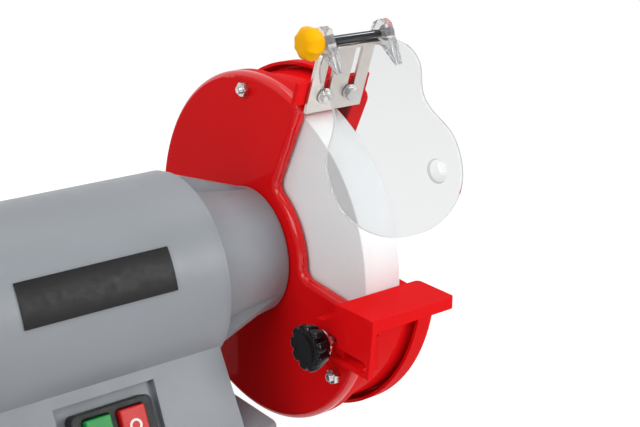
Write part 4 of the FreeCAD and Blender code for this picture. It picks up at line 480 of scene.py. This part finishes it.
def finished(node, edge=0.0, segments=2, hollows=True):
    """Stands for a CAD node: the same form with merged seams, rounded edges and smooth curves."""
    mesh = frame["nodes"][node].data.copy()
    work = bmesh.new()
    work.from_mesh(mesh)
    bmesh.ops.remove_doubles(work, verts=work.verts, dist=SEAM)
    if edge:
        bmesh.ops.dissolve_limit(work, angle_limit=math.radians(FLAT), verts=work.verts, edges=work.edges)
        rounded = work.edges.layers.float.new("bevel_weight_edge")
        for rim in work.edges:
            turned_over = rim.calc_face_angle(0.0) > math.radians(EDGE)
            rim[rounded] = float(turned_over and (hollows or rim.is_convex))
    work.to_mesh(mesh)
    work.free()
    mesh.shade_smooth()
    piece = add_object(f"{node}_finish", mesh)
    if edge:
        round_edges(piece, width=edge, segments=segments, limit_method="WEIGHT", miter_outer="MITER_ARC")
    smooth(piece.data, ROUNDED if edge else CURVED)
    if edge:
        piece.modifiers.new("flat faces", "WEIGHTED_NORMAL").keep_sharp = True
        bake(piece)
    return settle(piece, node, SLOT_OF[node], node)


def second_finish(piece, slot, wanted):
    """Gives the faces that are wanted another finish than the rest of a piece."""
    piece.data.materials.append(finish_for(slot))
    for face in piece.data.polygons:
        face.material_index = int(wanted(face.normal))


def stack(work, rings, loop=False):
    """Skin between rings of as many points each, capped at both ends or closed into a loop."""
    rows = [[work.verts.new(point) for point in ring] for ring in rings]
    following = rows[1:] + rows[:1] if loop else rows[1:]
    for low, high in zip(rows, following):
        for i in range(len(low)):
            j = (i + 1) % len(low)
            work.faces.new((low[i], low[j], high[j], high[i]))
    if not loop:
        work.faces.new(list(reversed(rows[0])))
        work.faces.new(rows[-1])


def turned(work, profile, steps, loop=False):
    """Form about Z from (z, radius) points, where a radius may be a rule of the angle."""
    rings = []
    for z, radius in profile:
        ring = []
        for i in range(steps):
            turn = 2.0 * math.pi * i / steps
            reach = radius(turn) if callable(radius) else radius
            ring.append((reach * math.cos(turn), reach * math.sin(turn), z))
        rings.append(ring)
    stack(work, rings, loop)


def mesh_from(name, work, angle):
    bmesh.ops.remove_doubles(work, verts=work.verts, dist=WELD)
    bmesh.ops.recalc_face_normals(work, faces=work.faces)
    mesh = new_mesh(name, work)
    smooth(mesh, angle)
    return mesh


def turned_mesh(name, angle, *forms, loop=False):
    """Mesh of forms about Z, each given by its steps and its profile."""
    work = bmesh.new()
    for steps, profile in forms:
        turned(work, profile, steps, loop)
    return mesh_from(name, work, angle)


def thread(radius, low, high, pitch):
    """Profile of a threaded length, with its end chamfered."""
    depth = 0.45 * pitch
    points = []
    for i in range(max(1, int((high - low) / pitch))):
        z = low + i * pitch
        points += [(z, radius - depth), (z + 0.5 * pitch, radius)]
    return points + [(high - 0.3 * pitch, radius - depth), (high, radius - 2.2 * depth)]


def hex_rule(across, limit=math.inf):
    """Radius of a hexagon across flats, cut by a circle."""
    half_side = math.pi / 6.0

    def reach(turn):
        from_flat = (turn + half_side) % (2.0 * half_side) - half_side
        return min(across / 2.0 / math.cos(from_flat), limit)
    return reach


def hex_profile(across, low, high, lower_cut=True):
    """Hexagon with both ends, or only the upper one, chamfered by a cone."""
    corner = across / math.sqrt(3.0)
    flat = 0.485 * across
    fall = (corner - flat) * 0.55
    full, cut = hex_rule(across, corner), hex_rule(across, 0.5 * (flat + corner))
    lower = [(low, flat), (low + 0.5 * fall, cut), (low + fall, full)] if lower_cut else [(low, full)]
    return lower + [(high - fall, full), (high - 0.5 * fall, cut), (high, flat)]


# Geometry node trees

def geometry_tree(name, inputs):
    shape = ("Geometry", "Geometry")
    return new_tree("GeometryNodeTree", name, [shape, *inputs, ("Material", "Material")], [shape])


def close_tree(tree, start, end, geometry):
    """Realized and given its material, as every tree here ends."""
    real = put(tree, "GeometryNodeRealizeInstances", {"Geometry": geometry})
    dressed = put(tree, "GeometryNodeSetMaterial", {
        "Geometry": real.outputs[0], "Material": start.outputs["Material"],
    })
    feed(tree, end.inputs["Geometry"], dressed.outputs[0])
    return tree


def attribute(tree, name, kind):
    return put(tree, "GeometryNodeInputNamedAttribute", {"Name": name}, data_type=kind).outputs["Attribute"]


def fastener_tree(name):
    """One fastener on every point, facing along the point's direction."""
    tree, start, end = geometry_tree(name, [("Fastener", "Object")])
    model = put(tree, "GeometryNodeObjectInfo", {"Object": start.outputs["Fastener"]})
    facing = attribute(tree, "facing", "FLOAT_VECTOR")
    aim = put(tree, "FunctionNodeAlignRotationToVector", {"Vector": facing}, axis="Z")
    turn = put(tree, "FunctionNodeAxisAngleToRotation", {"Angle": attribute(tree, "spin", "FLOAT")})
    both = put(tree, "FunctionNodeRotateRotation", {
        "Rotation": aim.outputs["Rotation"], "Rotate By": turn.outputs["Rotation"],
    }, rotation_space="LOCAL")
    copies = put(tree, "GeometryNodeInstanceOnPoints", {
        "Points": start.outputs["Geometry"], "Instance": model.outputs["Geometry"],
        "Rotation": both.outputs["Rotation"],
    })
    return close_tree(tree, start, end, copies.outputs["Instances"])


def lobe_tree(name):
    """Draws a turned grip in between its lobes, where its grip attribute says so."""
    tree, start, end = geometry_tree(name, [
        ("Lobes", "Int", 7), ("Valley", "Float", 0.003), ("Narrowness", "Float", 1.5),
    ])
    given = start.outputs
    position = put(tree, "GeometryNodeInputPosition").outputs[0]
    place = put(tree, "ShaderNodeSeparateXYZ", {0: position}).outputs
    turn = sums(tree, "ARCTAN2", place["Y"], place["X"])
    half_turns = sums(tree, "MULTIPLY", sums(tree, "MULTIPLY", turn, given["Lobes"]), 0.5)
    wave = sums(tree, "ABSOLUTE", sums(tree, "COSINE", half_turns))
    wave = sums(tree, "POWER", wave, given["Narrowness"])
    gripped = sums(tree, "MULTIPLY", wave, attribute(tree, "grip", "FLOAT"))
    inward = sums(tree, "MULTIPLY", sums(tree, "MULTIPLY", gripped, given["Valley"]), -1.0)
    flat = put(tree, "ShaderNodeCombineXYZ", {"X": place["X"], "Y": place["Y"]}).outputs[0]
    outward = vectors(tree, "NORMALIZE", {0: flat})[0]
    shift = vectors(tree, "SCALE", {0: outward, "Scale": inward})[0]
    moved = put(tree, "GeometryNodeSetPosition", {"Geometry": given["Geometry"], "Offset": shift})
    return close_tree(tree, start, end, moved.outputs[0])


def run_tree(piece, tree, values):
    """Runs a tree on a piece with inputs named in values, and leaves a plain mesh."""
    modifier = piece.modifiers.new(tree.name, "NODES")
    modifier.node_group = tree
    for item in tree.interface.items_tree:
        if item.item_type == "SOCKET" and item.in_out == "INPUT" and item.name in values:
            modifier[item.identifier] = values[item.name]
    return bake(piece)


def scatter(name, node, template, spots):
    """Stands for a CAD node of fasteners: one fastener at each (place, facing, spin)."""
    slot = SLOT_OF[node]
    mesh = bpy.data.meshes.new(name)
    places, facings, spins = zip(*spots)
    mesh.from_pydata(places, [], [])
    facing = mesh.attributes.new("facing", "FLOAT_VECTOR", "POINT").data
    facing.foreach_set("vector", [part for way in facings for part in way])
    mesh.attributes.new("spin", "FLOAT", "POINT").data.foreach_set("value", spins)
    model = add_object(f"{name}_model", template)
    piece = add_object(name, mesh)
    tree = tree_named("Fasteners on Points", fastener_tree)
    run_tree(piece, tree, {"Fastener": model, "Material": finish_for(slot)})
    bpy.data.objects.remove(model)
    return settle(piece, node, slot, node)


def lobed_piece(name, node, matrix, profile, grips, lobes, valley, narrowness):
    """Stands for the CAD node of a knob: turned about Z from its profile, lobed, then put in place."""
    slot = SLOT_OF[node]
    work = bmesh.new()
    steps = LOBE_STEPS * lobes
    turned(work, profile, steps)
    mesh = new_mesh(name, work)
    grip = mesh.attributes.new("grip", "FLOAT", "POINT").data
    grip.foreach_set("value", [share for share in grips for i in range(steps)])
    piece = add_object(name, mesh)
    run_tree(piece, tree_named("Lobed Grip", lobe_tree), {
        "Lobes": lobes, "Valley": valley, "Narrowness": narrowness, "Material": finish_for(slot),
    })
    work = bmesh.new()
    work.from_mesh(piece.data)
    work.transform(matrix)
    piece.data = mesh_from(name, work, LOBED)
    return settle(piece, node, slot, node)


def knob_pair(part, joint, label, outline, **grip):
    """Both knobs of a kind, from a rule that draws their profile for the size of their box."""
    for side, sign in SIDES.items():
        node = f"{side}_{part}"
        low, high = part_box(node)
        middle = JOINTS[f"{side}_{joint}"]["pos_m"]
        inner = high.x if sign > 0.0 else low.x
        matrix = facing_matrix((inner, middle[1], middle[2]), -sign * SPINDLE)
        lobed_piece(f"{side}_{label}", node, matrix, outline(high - low), **grip)


# Measures of the frame

def facing_matrix(place, axis):
    """Puts a form made about Z at a place, its Z along an axis."""
    return Matrix.Translation(place) @ Vector(axis).to_track_quat("Z", "Y").to_matrix().to_4x4()


def span(points, direction):
    """Lowest and highest reach of points along a direction."""
    reaches = [point.dot(direction) for point in points]
    return min(reaches), max(reaches)


def box_middle(points):
    return 0.5 * Vector([sum(span(points, axis)) for axis in Matrix.Identity(3)])


def islands(node, near=0.010):
    """Points of each solid of a CAD node, together with the solids that are threaded on it."""
    work = bmesh.new()
    work.from_mesh(frame["nodes"][node].data)
    bmesh.ops.remove_doubles(work, verts=work.verts, dist=SEAM)
    waiting = dict.fromkeys(work.verts)
    found = []
    while waiting:
        queue = [waiting.popitem()[0]]
        island = []
        while queue:
            vertex = queue.pop()
            island.append(vertex.co.copy())
            for edge in vertex.link_edges:
                other = edge.other_vert(vertex)
                if other in waiting:
                    del waiting[other]
                    queue.append(other)
        middle = box_middle(island)
        mates = [other for other in found if (box_middle(other) - middle).length < near]
        if mates:
            mates[0].extend(island)
        else:
            found.append(island)
    work.free()
    return found


def solids_along(node, axis):
    """Middle and depth, along an axis, of each solid of a CAD node."""
    side = axis.orthogonal().normalized()
    found = []
    for island in islands(node):
        middle, depth = Vector(), 0.0
        for direction in (axis, side, axis.cross(side)):
            low, high = span(island, direction)
            middle += 0.5 * (low + high) * direction
            depth = depth or high - low
        found.append((middle, depth))
    return sorted(found, key=lambda solid: tuple(solid[0]))


def broad_normal(node):
    """Direction that the largest face of a CAD node looks in, turned to the front."""
    face = max(frame["nodes"][node].data.polygons, key=lambda polygon: polygon.area)
    return face.normal.copy() if face.normal.y < 0.0 else -face.normal


# Operators

class GRINDER_OT_castings(bpy.types.Operator):
    """Motor barrel, end bells, pedestal and blank plate with their enamel"""
    bl_idname = "grinder.castings"
    bl_label = "Castings"

    def execute(self, context):
        sizes = context.scene.grinder_sizes
        for node in ("motor_barrel", "pedestal", "right_end_bell", "left_end_bell"):
            finished(node, sizes.casting_round)
        finished("blank_plate", 0.3 * sizes.sheet_round)
        return {"FINISHED"}


class GRINDER_OT_guards(bpy.types.Operator):
    """Guard walls, drums, covers and shield seats with their enamel"""
    bl_idname = "grinder.guards"
    bl_label = "Guards"

    def execute(self, context):
        edge = context.scene.grinder_sizes.sheet_round
        for side in SIDES:
            for part in ("guard_drum", "guard_cover", "shield_seat"):
                finished(f"{side}_{part}", edge)
            wall = finished(f"{side}_guard_wall", edge)
            second_finish(wall, "red_lip", lambda normal: abs(normal.x) < 0.97)
        return {"FINISHED"}


class GRINDER_OT_wheels(bpy.types.Operator):
    """Grinding wheels with their abrasive grain"""
    bl_idname = "grinder.wheels"
    bl_label = "Grinding wheels"

    def execute(self, context):
        for side in SIDES:
            finished(f"{side}_wheel")
            finished(f"{side}_inner_flange")
        for node in ("wheel_blotters", "outer_flanges", "spindle"):
            finished(node)
        return {"FINISHED"}


class GRINDER_OT_tool_rests(bpy.types.Operator):
    """Tool rests and the mounts they are clamped to"""
    bl_idname = "grinder.tool_rests"
    bl_label = "Tool rests"

    def execute(self, context):
        edge = context.scene.grinder_sizes.rest_round
        for side in SIDES:
            finished(f"{side}_tool_rest", edge, segments=3, hollows=False)
            finished(f"{side}_rest_mount", edge)
            finished(f"{side}_rest_stud")
        return {"FINISHED"}


class GRINDER_OT_star_knobs(bpy.types.Operator):
    """Black star knobs that clamp the tool rests"""
    bl_idname = "grinder.star_knobs"
    bl_label = "Star knobs"

    def execute(self, context):
        sizes = context.scene.grinder_sizes
        hub, head = sizes.star_hub_radius, sizes.star_hub

        def outline(size):
            reach, radius = size.x, 0.5 * size.z
            back = radius - 0.0020
            face = ((0.0022, 0.0), (0.0012, 0.0001), (0.0005, 0.0004), (0.0001, 0.0010), (0.0, 0.0018),
                    (0.0, 0.0042), (0.0003, 0.0050))
            return [
                (0.0002, 0.0030), (0.0, 0.0034), (0.0, hub - 0.0004), (0.0003, hub), (head - 0.0003, hub),
                (head, hub + 0.0003), (head, back - 0.0016), (head + 0.0002, back - 0.0007),
                (head + 0.0007, back - 0.0001), (head + 0.0014, back + 0.0002),
                *((reach - down, radius - inward) for down, inward in face),
                (reach - 0.0004, 0.0040), (reach - 0.0004, 0.0010),
            ]
        grips = [0.0] * 6 + [0.8, 0.9] + [1.0] * 5 + [0.95, 0.85, 0.1, 0.0, 0.0, 0.0]
        knob_pair("rest_knob", "rest_knob_turn", "star_knob", outline, grips=grips,
                  lobes=sizes.star_lobes, valley=sizes.star_valley, narrowness=7.0)
        return {"FINISHED"}


def forked_clip(work, place, half, reach, front, tail):
    """Clip about a rod along X: an angular ear behind a plane, and a tail of two tapered prongs."""
    ear = [(-0.40 * reach, -reach), (0.55 * reach, -0.88 * reach), (1.06 * reach, -0.30 * reach),
           (1.04 * reach, 0.45 * reach), (0.60 * reach, front)]
    split, tip, thin = -0.5 * tail, 0.72 * half, 0.2 * front
    heel = (-reach, -0.1 * reach)
    share = (split - heel[0]) / (-tail - heel[0])
    root_back = heel[1] + share * (front - thin - heel[1])
    inner_root, inner_tip = 0.10 * half, 0.30 * half

    def point(x, up, ahead):
        return work.verts.new(place @ Vector((x, up, ahead)))

    def column(x):
        return [point(x, up, ahead) for up, ahead in [heel] + ear]

    def corners(outer, inner, up, back):
        return [point(x, up, ahead) for x in (outer, inner) for ahead in (front, back)]

    def prong(side, sign):
        roots = corners(sign * half, sign * inner_root, split, root_back)
        tips = corners(sign * tip, sign * inner_tip, -tail, front - thin)
        work.faces.new(side + [roots[0], tips[0], tips[1], roots[1]])
        for i, j in ((0, 2), (1, 3), (2, 3)):
            work.faces.new((roots[i], roots[j], tips[j], tips[i]))
        work.faces.new((tips[0], tips[2], tips[3], tips[1]))
        return roots

    left, right = column(-half), column(half)
    near, far = prong(left, -1.0), prong(right, 1.0)
    for i in range(len(left) - 1):
        work.faces.new((left[i], left[i + 1], right[i + 1], right[i]))
    work.faces.new((left[-1], right[-1], far[0], far[2], near[2], near[0]))
    work.faces.new((left[0], right[0], far[1], far[3], near[3], near[1]))
    work.faces.new((near[2], far[2], far[3], near[3]))


class GRINDER_OT_shields(bpy.types.Operator):
    """Eye shields: brackets, rods, clips and clear panes"""
    bl_idname = "grinder.shields"
    bl_label = "Eye shields"

    def execute(self, context):
        edge = context.scene.grinder_sizes.sheet_round
        for side in SIDES:
            finished(f"{side}_shield_bracket", 0.6 * edge)
            finished(f"{side}_shield_rod", 0.5 * edge)
            ahead = broad_normal(f"{side}_shield_pane")
            self.clips(side, ahead, edge)
            pane = finished(f"{side}_shield_pane", edge, segments=3)
            # The rim faces of the pane and the sides of its grip take the darker clear plastic: painted shade
            # for the dark edge lines
            second_finish(pane, "clear_edge", lambda normal: abs(normal.dot(ahead)) < 0.6)
        return {"FINISHED"}

    def clips(self, side, ahead, edge):
        """Both clips of a shield in one piece, in the places of the CAD's."""
        node = f"{side}_shield_clips"
        rod = Vector(JOINTS[f"{side}_shield_flip"]["pos_m"])
        up = ahead.cross(SPINDLE)
        up = up if up.z > 0.0 else -up
        turn = Matrix((SPINDLE, up, ahead)).transposed().to_4x4()
        points = [vertex.co - rod for vertex in frame["nodes"][node].data.vertices]
        back, front = span(points, ahead)
        tail = -span(points, up)[0]
        work = bmesh.new()
        for middle, depth in solids_along(node, SPINDLE):
            place = Matrix.Translation((middle.x, rod.y, rod.z)) @ turn
            forked_clip(work, place, 0.5 * depth, -back, front, tail)
        piece = add_object(f"{side}_forked_clips", mesh_from(node, work, CRISP))
        round_edges(piece, width=edge, segments=2)
        smooth(piece.data, ROUNDED)
        settle(piece, node, "clear_moulding", node)


class GRINDER_OT_clamp_knobs(bpy.types.Operator):
    """Yellow clamp knobs on the shield rods"""
    bl_idname = "grinder.clamp_knobs"
    bl_label = "Clamp knobs"

    def execute(self, context):
        sizes = context.scene.grinder_sizes
        radius = sizes.clamp_radius

        def outline(size):
            reach = size.x
            face = ((0.0048, 0.0), (0.0034, 0.0004), (0.0021, 0.0012), (0.0010, 0.0024), (0.0003, 0.0038),
                    (0.0, 0.0052))
            return [
                (0.0, 0.0030), (0.0, 0.0058), (0.0004, 0.0064), (0.0022, 0.0066), (0.0024, radius - 0.0020),
                (0.0027, radius - 0.0011), (0.0034, radius - 0.0004), (0.0046, radius),
                *((reach - down, radius - inward) for down, inward in face),
                (reach, 0.0030), (reach - 0.0001, 0.0010),
            ]
        grips = [0.0] * 4 + [0.7, 0.9] + [1.0] * 4 + [0.95, 0.85, 0.6, 0.4, 0.0, 0.0]
        knob_pair("clamp_knob", "clamp_turn", "clamp_knob_grip", outline, grips=grips,
                  lobes=sizes.clamp_facets, valley=sizes.clamp_valley, narrowness=1.0)
        return {"FINISHED"}


def bolt_model(name, depth, past, nut_height, across, radius, head_radius, pitch):
    """Bolt with its threaded end at z = 0, a nut on it and a round head at its far end."""
    nut = hex_profile(across, -past - nut_height, -past)
    shank = [(0.0015 - depth, radius)] + thread(radius, -past - 0.0004, 0.0, pitch)
    head = [(-depth, 0.55 * head_radius), (0.0002 - depth, 0.8 * head_radius),
            (0.0008 - depth, head_radius), (0.0020 - depth, head_radius)]
    return turned_mesh(name, CRISP, (72, nut), (40, shank), (48, head))


def socket_model(name, depth, radius, height, shank):
    """Round-headed screw with a hexagon socket, the top of its head at z = 0."""
    socket = 0.85 * radius
    profile = [
        (-depth, 0.8 * shank), (0.3 * shank - depth, shank), (-height, shank), (-height, radius - 0.0001),
        (0.0002 - height, radius), (-0.45 * height, radius), (-0.18 * height, 0.93 * radius),
        (-0.04 * height, 0.80 * radius), (0.0, 0.66 * radius), (0.0, hex_rule(1.12 * socket)),
        (-0.0002, hex_rule(socket)), (-0.6 * height, hex_rule(socket)),
    ]
    return turned_mesh(name, CRISP, (72, profile))


def washered_bolt_model(name, depth, across, head, washer_radius, washer, nut_height, radius):
    """Hexagon bolt with its head's top at z = 0, a washer under the head and a nut at its end."""
    low = -head - washer
    cap = hex_profile(across, -head - 0.0001, 0.0, lower_cut=False)
    disc = [(low, washer_radius - 0.0001), (low + 0.0001, washer_radius), (-head - 0.0002, washer_radius),
            (-head, washer_radius - 0.0002)]
    nut = hex_profile(across, -depth, nut_height - depth)
    shank = [(0.0002 - depth, 0.8 * radius), (0.0006 - depth, radius), (-head, radius)]
    return turned_mesh(name, CRISP, (72, cap), (48, disc), (72, nut), (40, shank))


def wheel_nut_model(name, height, across, bore):
    """Hexagon nut with both faces chamfered, the outer one at z = 0, and a chamfered bore."""
    cut = 0.0006
    inside = [(0.0, bore + cut), (-cut, bore), (cut - height, bore), (-height, bore + cut)]
    return turned_mesh(name, CRISP, (96, hex_profile(across, -height, 0.0) + inside), loop=True)


def ends_along(node, way, first_spin, spin_step, mirrored=False):
    """Spots at the ends of a node's screws along a way, mirrored at the left if asked, and a depth."""
    solids = solids_along(node, way)
    spots = []
    for k, (middle, depth) in enumerate(solids):
        facing = -way if mirrored and middle.x < 0.0 else way
        spots.append((middle + 0.5 * depth * facing, facing, first_spin + spin_step * k))
    return spots, solids[0][1]


def spindle_ends(node, way=SPINDLE):
    return ends_along(node, way, 0.4, 0.7, mirrored=True)


class GRINDER_OT_fasteners(bpy.types.Operator):
    """Nuts, bolts and screws"""
    bl_idname = "grinder.fasteners"
    bl_label = "Fasteners"

    def execute(self, context):
        pitch = context.scene.grinder_sizes.thread_pitch
        self.fit("wall_bolts", "and_nuts", spindle_ends("wall_bolts", -SPINDLE), bolt_model, past=0.0023,
                 nut_height=0.0042, across=0.0080, radius=0.0025, head_radius=0.0032, pitch=pitch)
        ahead = broad_normal("right_shield_bracket")
        self.fit("bracket_bolts", "and_washers", ends_along("bracket_bolts", ahead, 0.3, 0.8),
                 washered_bolt_model, across=0.0070, head=0.0028, washer_radius=0.0050, washer=0.0010,
                 nut_height=0.0032, radius=0.0020)
        screws = {"cover_screws": (0.0040, 0.0024, 0.0020), "bell_screws": (0.0034, 0.0030, 0.0020),
                  "guard_screws": (0.0045, 0.0014, 0.0025)}
        for node, sizes in screws.items():
            self.fit(node, "heads", spindle_ends(node), socket_model, *sizes)
        self.fit("bottom_plate_screws", "heads", ends_along("bottom_plate_screws", DOWN, 0.0, 0.5),
                 socket_model, 0.0036, 0.0024, 0.0020)
        self.fit("wheel_nuts", "hexagons", spindle_ends("wheel_nuts"), wheel_nut_model, across=0.024,
                 bore=0.0080)
        return {"FINISHED"}

    def fit(self, node, label, ends, build, *sizes, **named_sizes):
        spots, depth = ends
        scatter(f"{node}_{label}", node, build(node, depth, *sizes, **named_sizes), spots)


def bar_mark(name):
    """Upright bar with rounded ends, a little proud of the face it stands on."""
    work = bmesh.new()
    reach, steps = 0.0034, 32
    rings = []
    for z, half in ((-0.0002, 0.0007), (0.0001, 0.0007), (0.0002, 0.0006)):
        ring = []
        for i in range(steps):
            turn = 2.0 * math.pi * i / steps
            end = math.copysign(reach, math.sin(turn)) if abs(math.sin(turn)) > 1e-6 else 0.0
            ring.append((half * math.cos(turn), end + half * math.sin(turn), z))
        rings.append(ring)
    stack(work, rings)
    return mesh_from(name, work, SOFT)


def ring_mark(name):
    """Round ring, a little proud of the face it stands on."""
    profile = [(-0.0002, 0.0036), (0.0001, 0.0036), (0.0002, 0.0035), (0.0002, 0.0024), (0.0001, 0.0023),
               (-0.0002, 0.0023)]
    return turned_mesh(name, SOFT, (48, profile), loop=True)


class GRINDER_OT_switch(bpy.types.Operator):
    """Switch housing and its two push buttons with plain on and off marks"""
    bl_idname = "grinder.switch"
    bl_label = "Switch"

    def execute(self, context):
        edge = context.scene.grinder_sizes.plastic_round
        finished("switch_housing", edge)
        for button, mark in (("start", bar_mark), ("stop", ring_mark)):
            node = f"{button}_button"
            finished(node, edge, segments=3)
            outward = Vector(JOINTS[f"{button}_press"]["axis"]).normalized()
            outward = outward if outward.y < 0.0 else -outward
            middle, depth = solids_along(node, outward)[0]
            piece = add_object(f"{node}_mark", mark(f"{node}_mark"))
            piece.data.transform(facing_matrix(middle + 0.5 * depth * outward, outward))
            settle(piece, node, "mark_white")
        return {"FINISHED"}


class GRINDER_OT_gland(bpy.types.Operator):
    """Cable gland at the rear of the foot"""
    bl_idname = "grinder.gland"
    bl_label = "Cable gland"

    def execute(self, context):
        finished("cable_gland", context.scene.grinder_sizes.plastic_round * 0.6)
        return {"FINISHED"}


class GRINDER_OT_inner_works(bpy.types.Operator):
    """Finishes of the CAD nodes, for those that keep their own form"""
    bl_idname = "grinder.inner_works"
    bl_label = "Inner works"

    def execute(self, context):
        for node, piece in frame["nodes"].items():
            piece.data.materials.clear()
            piece.data.materials.append(finish_for(SLOT_OF[node]))
        return {"FINISHED"}


def light(name, place, size, watts):
    lamp = bpy.data.lights.new(name, "AREA")
    lamp.shape = "RECTANGLE"
    lamp.size, lamp.size_y = size
    lamp.energy = watts
    add_object(name, lamp).matrix_world = facing_matrix(place, Vector(place) - LAMP_AIM)


def seen_directly(tree):
    """One for camera, mirror and glass rays, zero for the light that falls on the object."""
    path = put(tree, "ShaderNodeLightPath").outputs
    both = sums(tree, "ADD", path["Is Camera Ray"], path["Is Glossy Ray"])
    return sums(tree, "ADD", both, path["Is Transmission Ray"], clamp=True)


def floor_mesh(stage):
    """Pale floor that keeps the object's shadow and is near white where it is seen."""
    tree, shader = blank_material("pale_floor")
    mottle = noise(tree, here(tree), 3.0)
    shade = blend(tree, mottle, opaque(stage.floor), opaque(stage.floor, 0.98))
    seen = seen_directly(tree)
    feed_all(tree, shader, {
        "Base Color": blend(tree, seen, shade, opaque(stage.floor, 0.45)),
        "Roughness": 0.9,
        "Specular IOR Level": 0.1,
        "Emission Color": WHITE,
        "Emission Strength": sums(tree, "MULTIPLY", seen, 0.80),
    })
    work = bmesh.new()
    bmesh.ops.create_grid(work, x_segments=4, y_segments=4, size=FLOOR_REACH)
    mesh = new_mesh("floor", work)
    mesh.transform(Matrix.Translation(FLOOR_DROP * DOWN))
    mesh.materials.append(bpy.data.materials["pale_floor"])
    return mesh


def studio_world(stage):
    """White to the camera, even light on the object, and a darker room behind the camera in mirrors."""
    world = bpy.data.worlds.new("studio")
    world.use_nodes = True
    tree = world.node_tree
    tree.nodes.clear()
    way = put(tree, "ShaderNodeTexCoord").outputs["Generated"]
    ahead = (math.sin(CAMERA_YAW), math.cos(CAMERA_YAW), 0.0)
    along = vectors(tree, "DOT_PRODUCT", {0: way, 1: ahead})["Value"]
    mirrored = spread(tree, along, -0.3, 0.5, stage.room, 1.0)
    camera_ray = put(tree, "ShaderNodeLightPath").outputs["Is Camera Ray"]
    shown = sums(tree, "MAXIMUM", camera_ray, mirrored)
    strength = spread(tree, seen_directly(tree), 0.0, 1.0, stage.ambient, shown)
    glow = put(tree, "ShaderNodeBackground", {"Color": WHITE, "Strength": strength})
    put(tree, "ShaderNodeOutputWorld", {"Surface": glow.outputs[0]})
    return world


def studio_camera():
    """Camera at the photograph's place and angle."""
    camera = bpy.data.cameras.new("camera")
    camera.sensor_fit = "HORIZONTAL"
    camera.sensor_width = SENSOR
    camera.lens = LENS
    camera.clip_start = 0.01
    yaw = Matrix.Rotation(-CAMERA_YAW, 4, "Z")
    pitch = Matrix.Rotation(math.pi / 2.0 + CAMERA_PITCH, 4, "X")
    roll = Matrix.Rotation(CAMERA_ROLL, 4, "Z")
    holder = add_object("camera", camera)
    holder.matrix_world = Matrix.Translation(CAMERA_PLACE) @ yaw @ pitch @ roll
    return holder


class GRINDER_OT_stage(bpy.types.Operator):
    """Pale floor, soft studio light and the camera"""
    bl_idname = "grinder.stage"
    bl_label = "Stage"

    def execute(self, context):
        scene = context.scene
        stage = scene.grinder_stage
        scene.view_settings.view_transform = "Standard"
        add_object("floor", floor_mesh(stage))
        scene.world = studio_world(stage)
        for name, (place, size) in LAMPS.items():
            light(name, place, size, getattr(stage, name))
        scene.camera = studio_camera()
        return {"FINISHED"}


OPERATORS = (
    GRINDER_OT_stage, GRINDER_OT_inner_works, GRINDER_OT_castings, GRINDER_OT_guards, GRINDER_OT_wheels,
    GRINDER_OT_tool_rests, GRINDER_OT_star_knobs, GRINDER_OT_shields, GRINDER_OT_clamp_knobs,
    GRINDER_OT_fasteners, GRINDER_OT_switch, GRINDER_OT_gland,
)


class GRINDER_PT_finish(bpy.types.Panel):
    """Steps of the grinder's finish"""
    bl_idname = "GRINDER_PT_finish"
    bl_label = "Bench Grinder"
    bl_space_type = "VIEW_3D"
    bl_region_type = "UI"
    bl_category = "Grinder"

    def draw(self, context):
        for group_name in GROUPS:
            group = getattr(context.scene, group_name)
            box = self.layout.box()
            for name in group.__annotations__:
                box.prop(group, name)
        for operator in OPERATORS:
            self.layout.operator(operator.bl_idname)


GROUPS = {"grinder_colours": GrinderColours, "grinder_sizes": GrinderSizes, "grinder_stage": GrinderStage}
CLASSES = (*GROUPS.values(), *OPERATORS, GRINDER_PT_finish)


def register():
    for item in CLASSES:
        bpy.utils.register_class(item)
    for name, group in GROUPS.items():
        setattr(bpy.types.Scene, name, PointerProperty(type=group))


def unregister():
    for name in GROUPS:
        delattr(bpy.types.Scene, name)
    for item in reversed(CLASSES):
        bpy.utils.unregister_class(item)


def main():
    register()
    bpy.ops.grinder.stage()
    bpy.ops.grinder.inner_works()
    bpy.ops.grinder.castings()
    bpy.ops.grinder.guards()
    bpy.ops.grinder.wheels()
    bpy.ops.grinder.tool_rests()
    bpy.ops.grinder.star_knobs()
    bpy.ops.grinder.shields()
    bpy.ops.grinder.clamp_knobs()
    bpy.ops.grinder.fasteners()
    bpy.ops.grinder.switch()
    bpy.ops.grinder.gland()


if __name__ == "__main__":
    main()
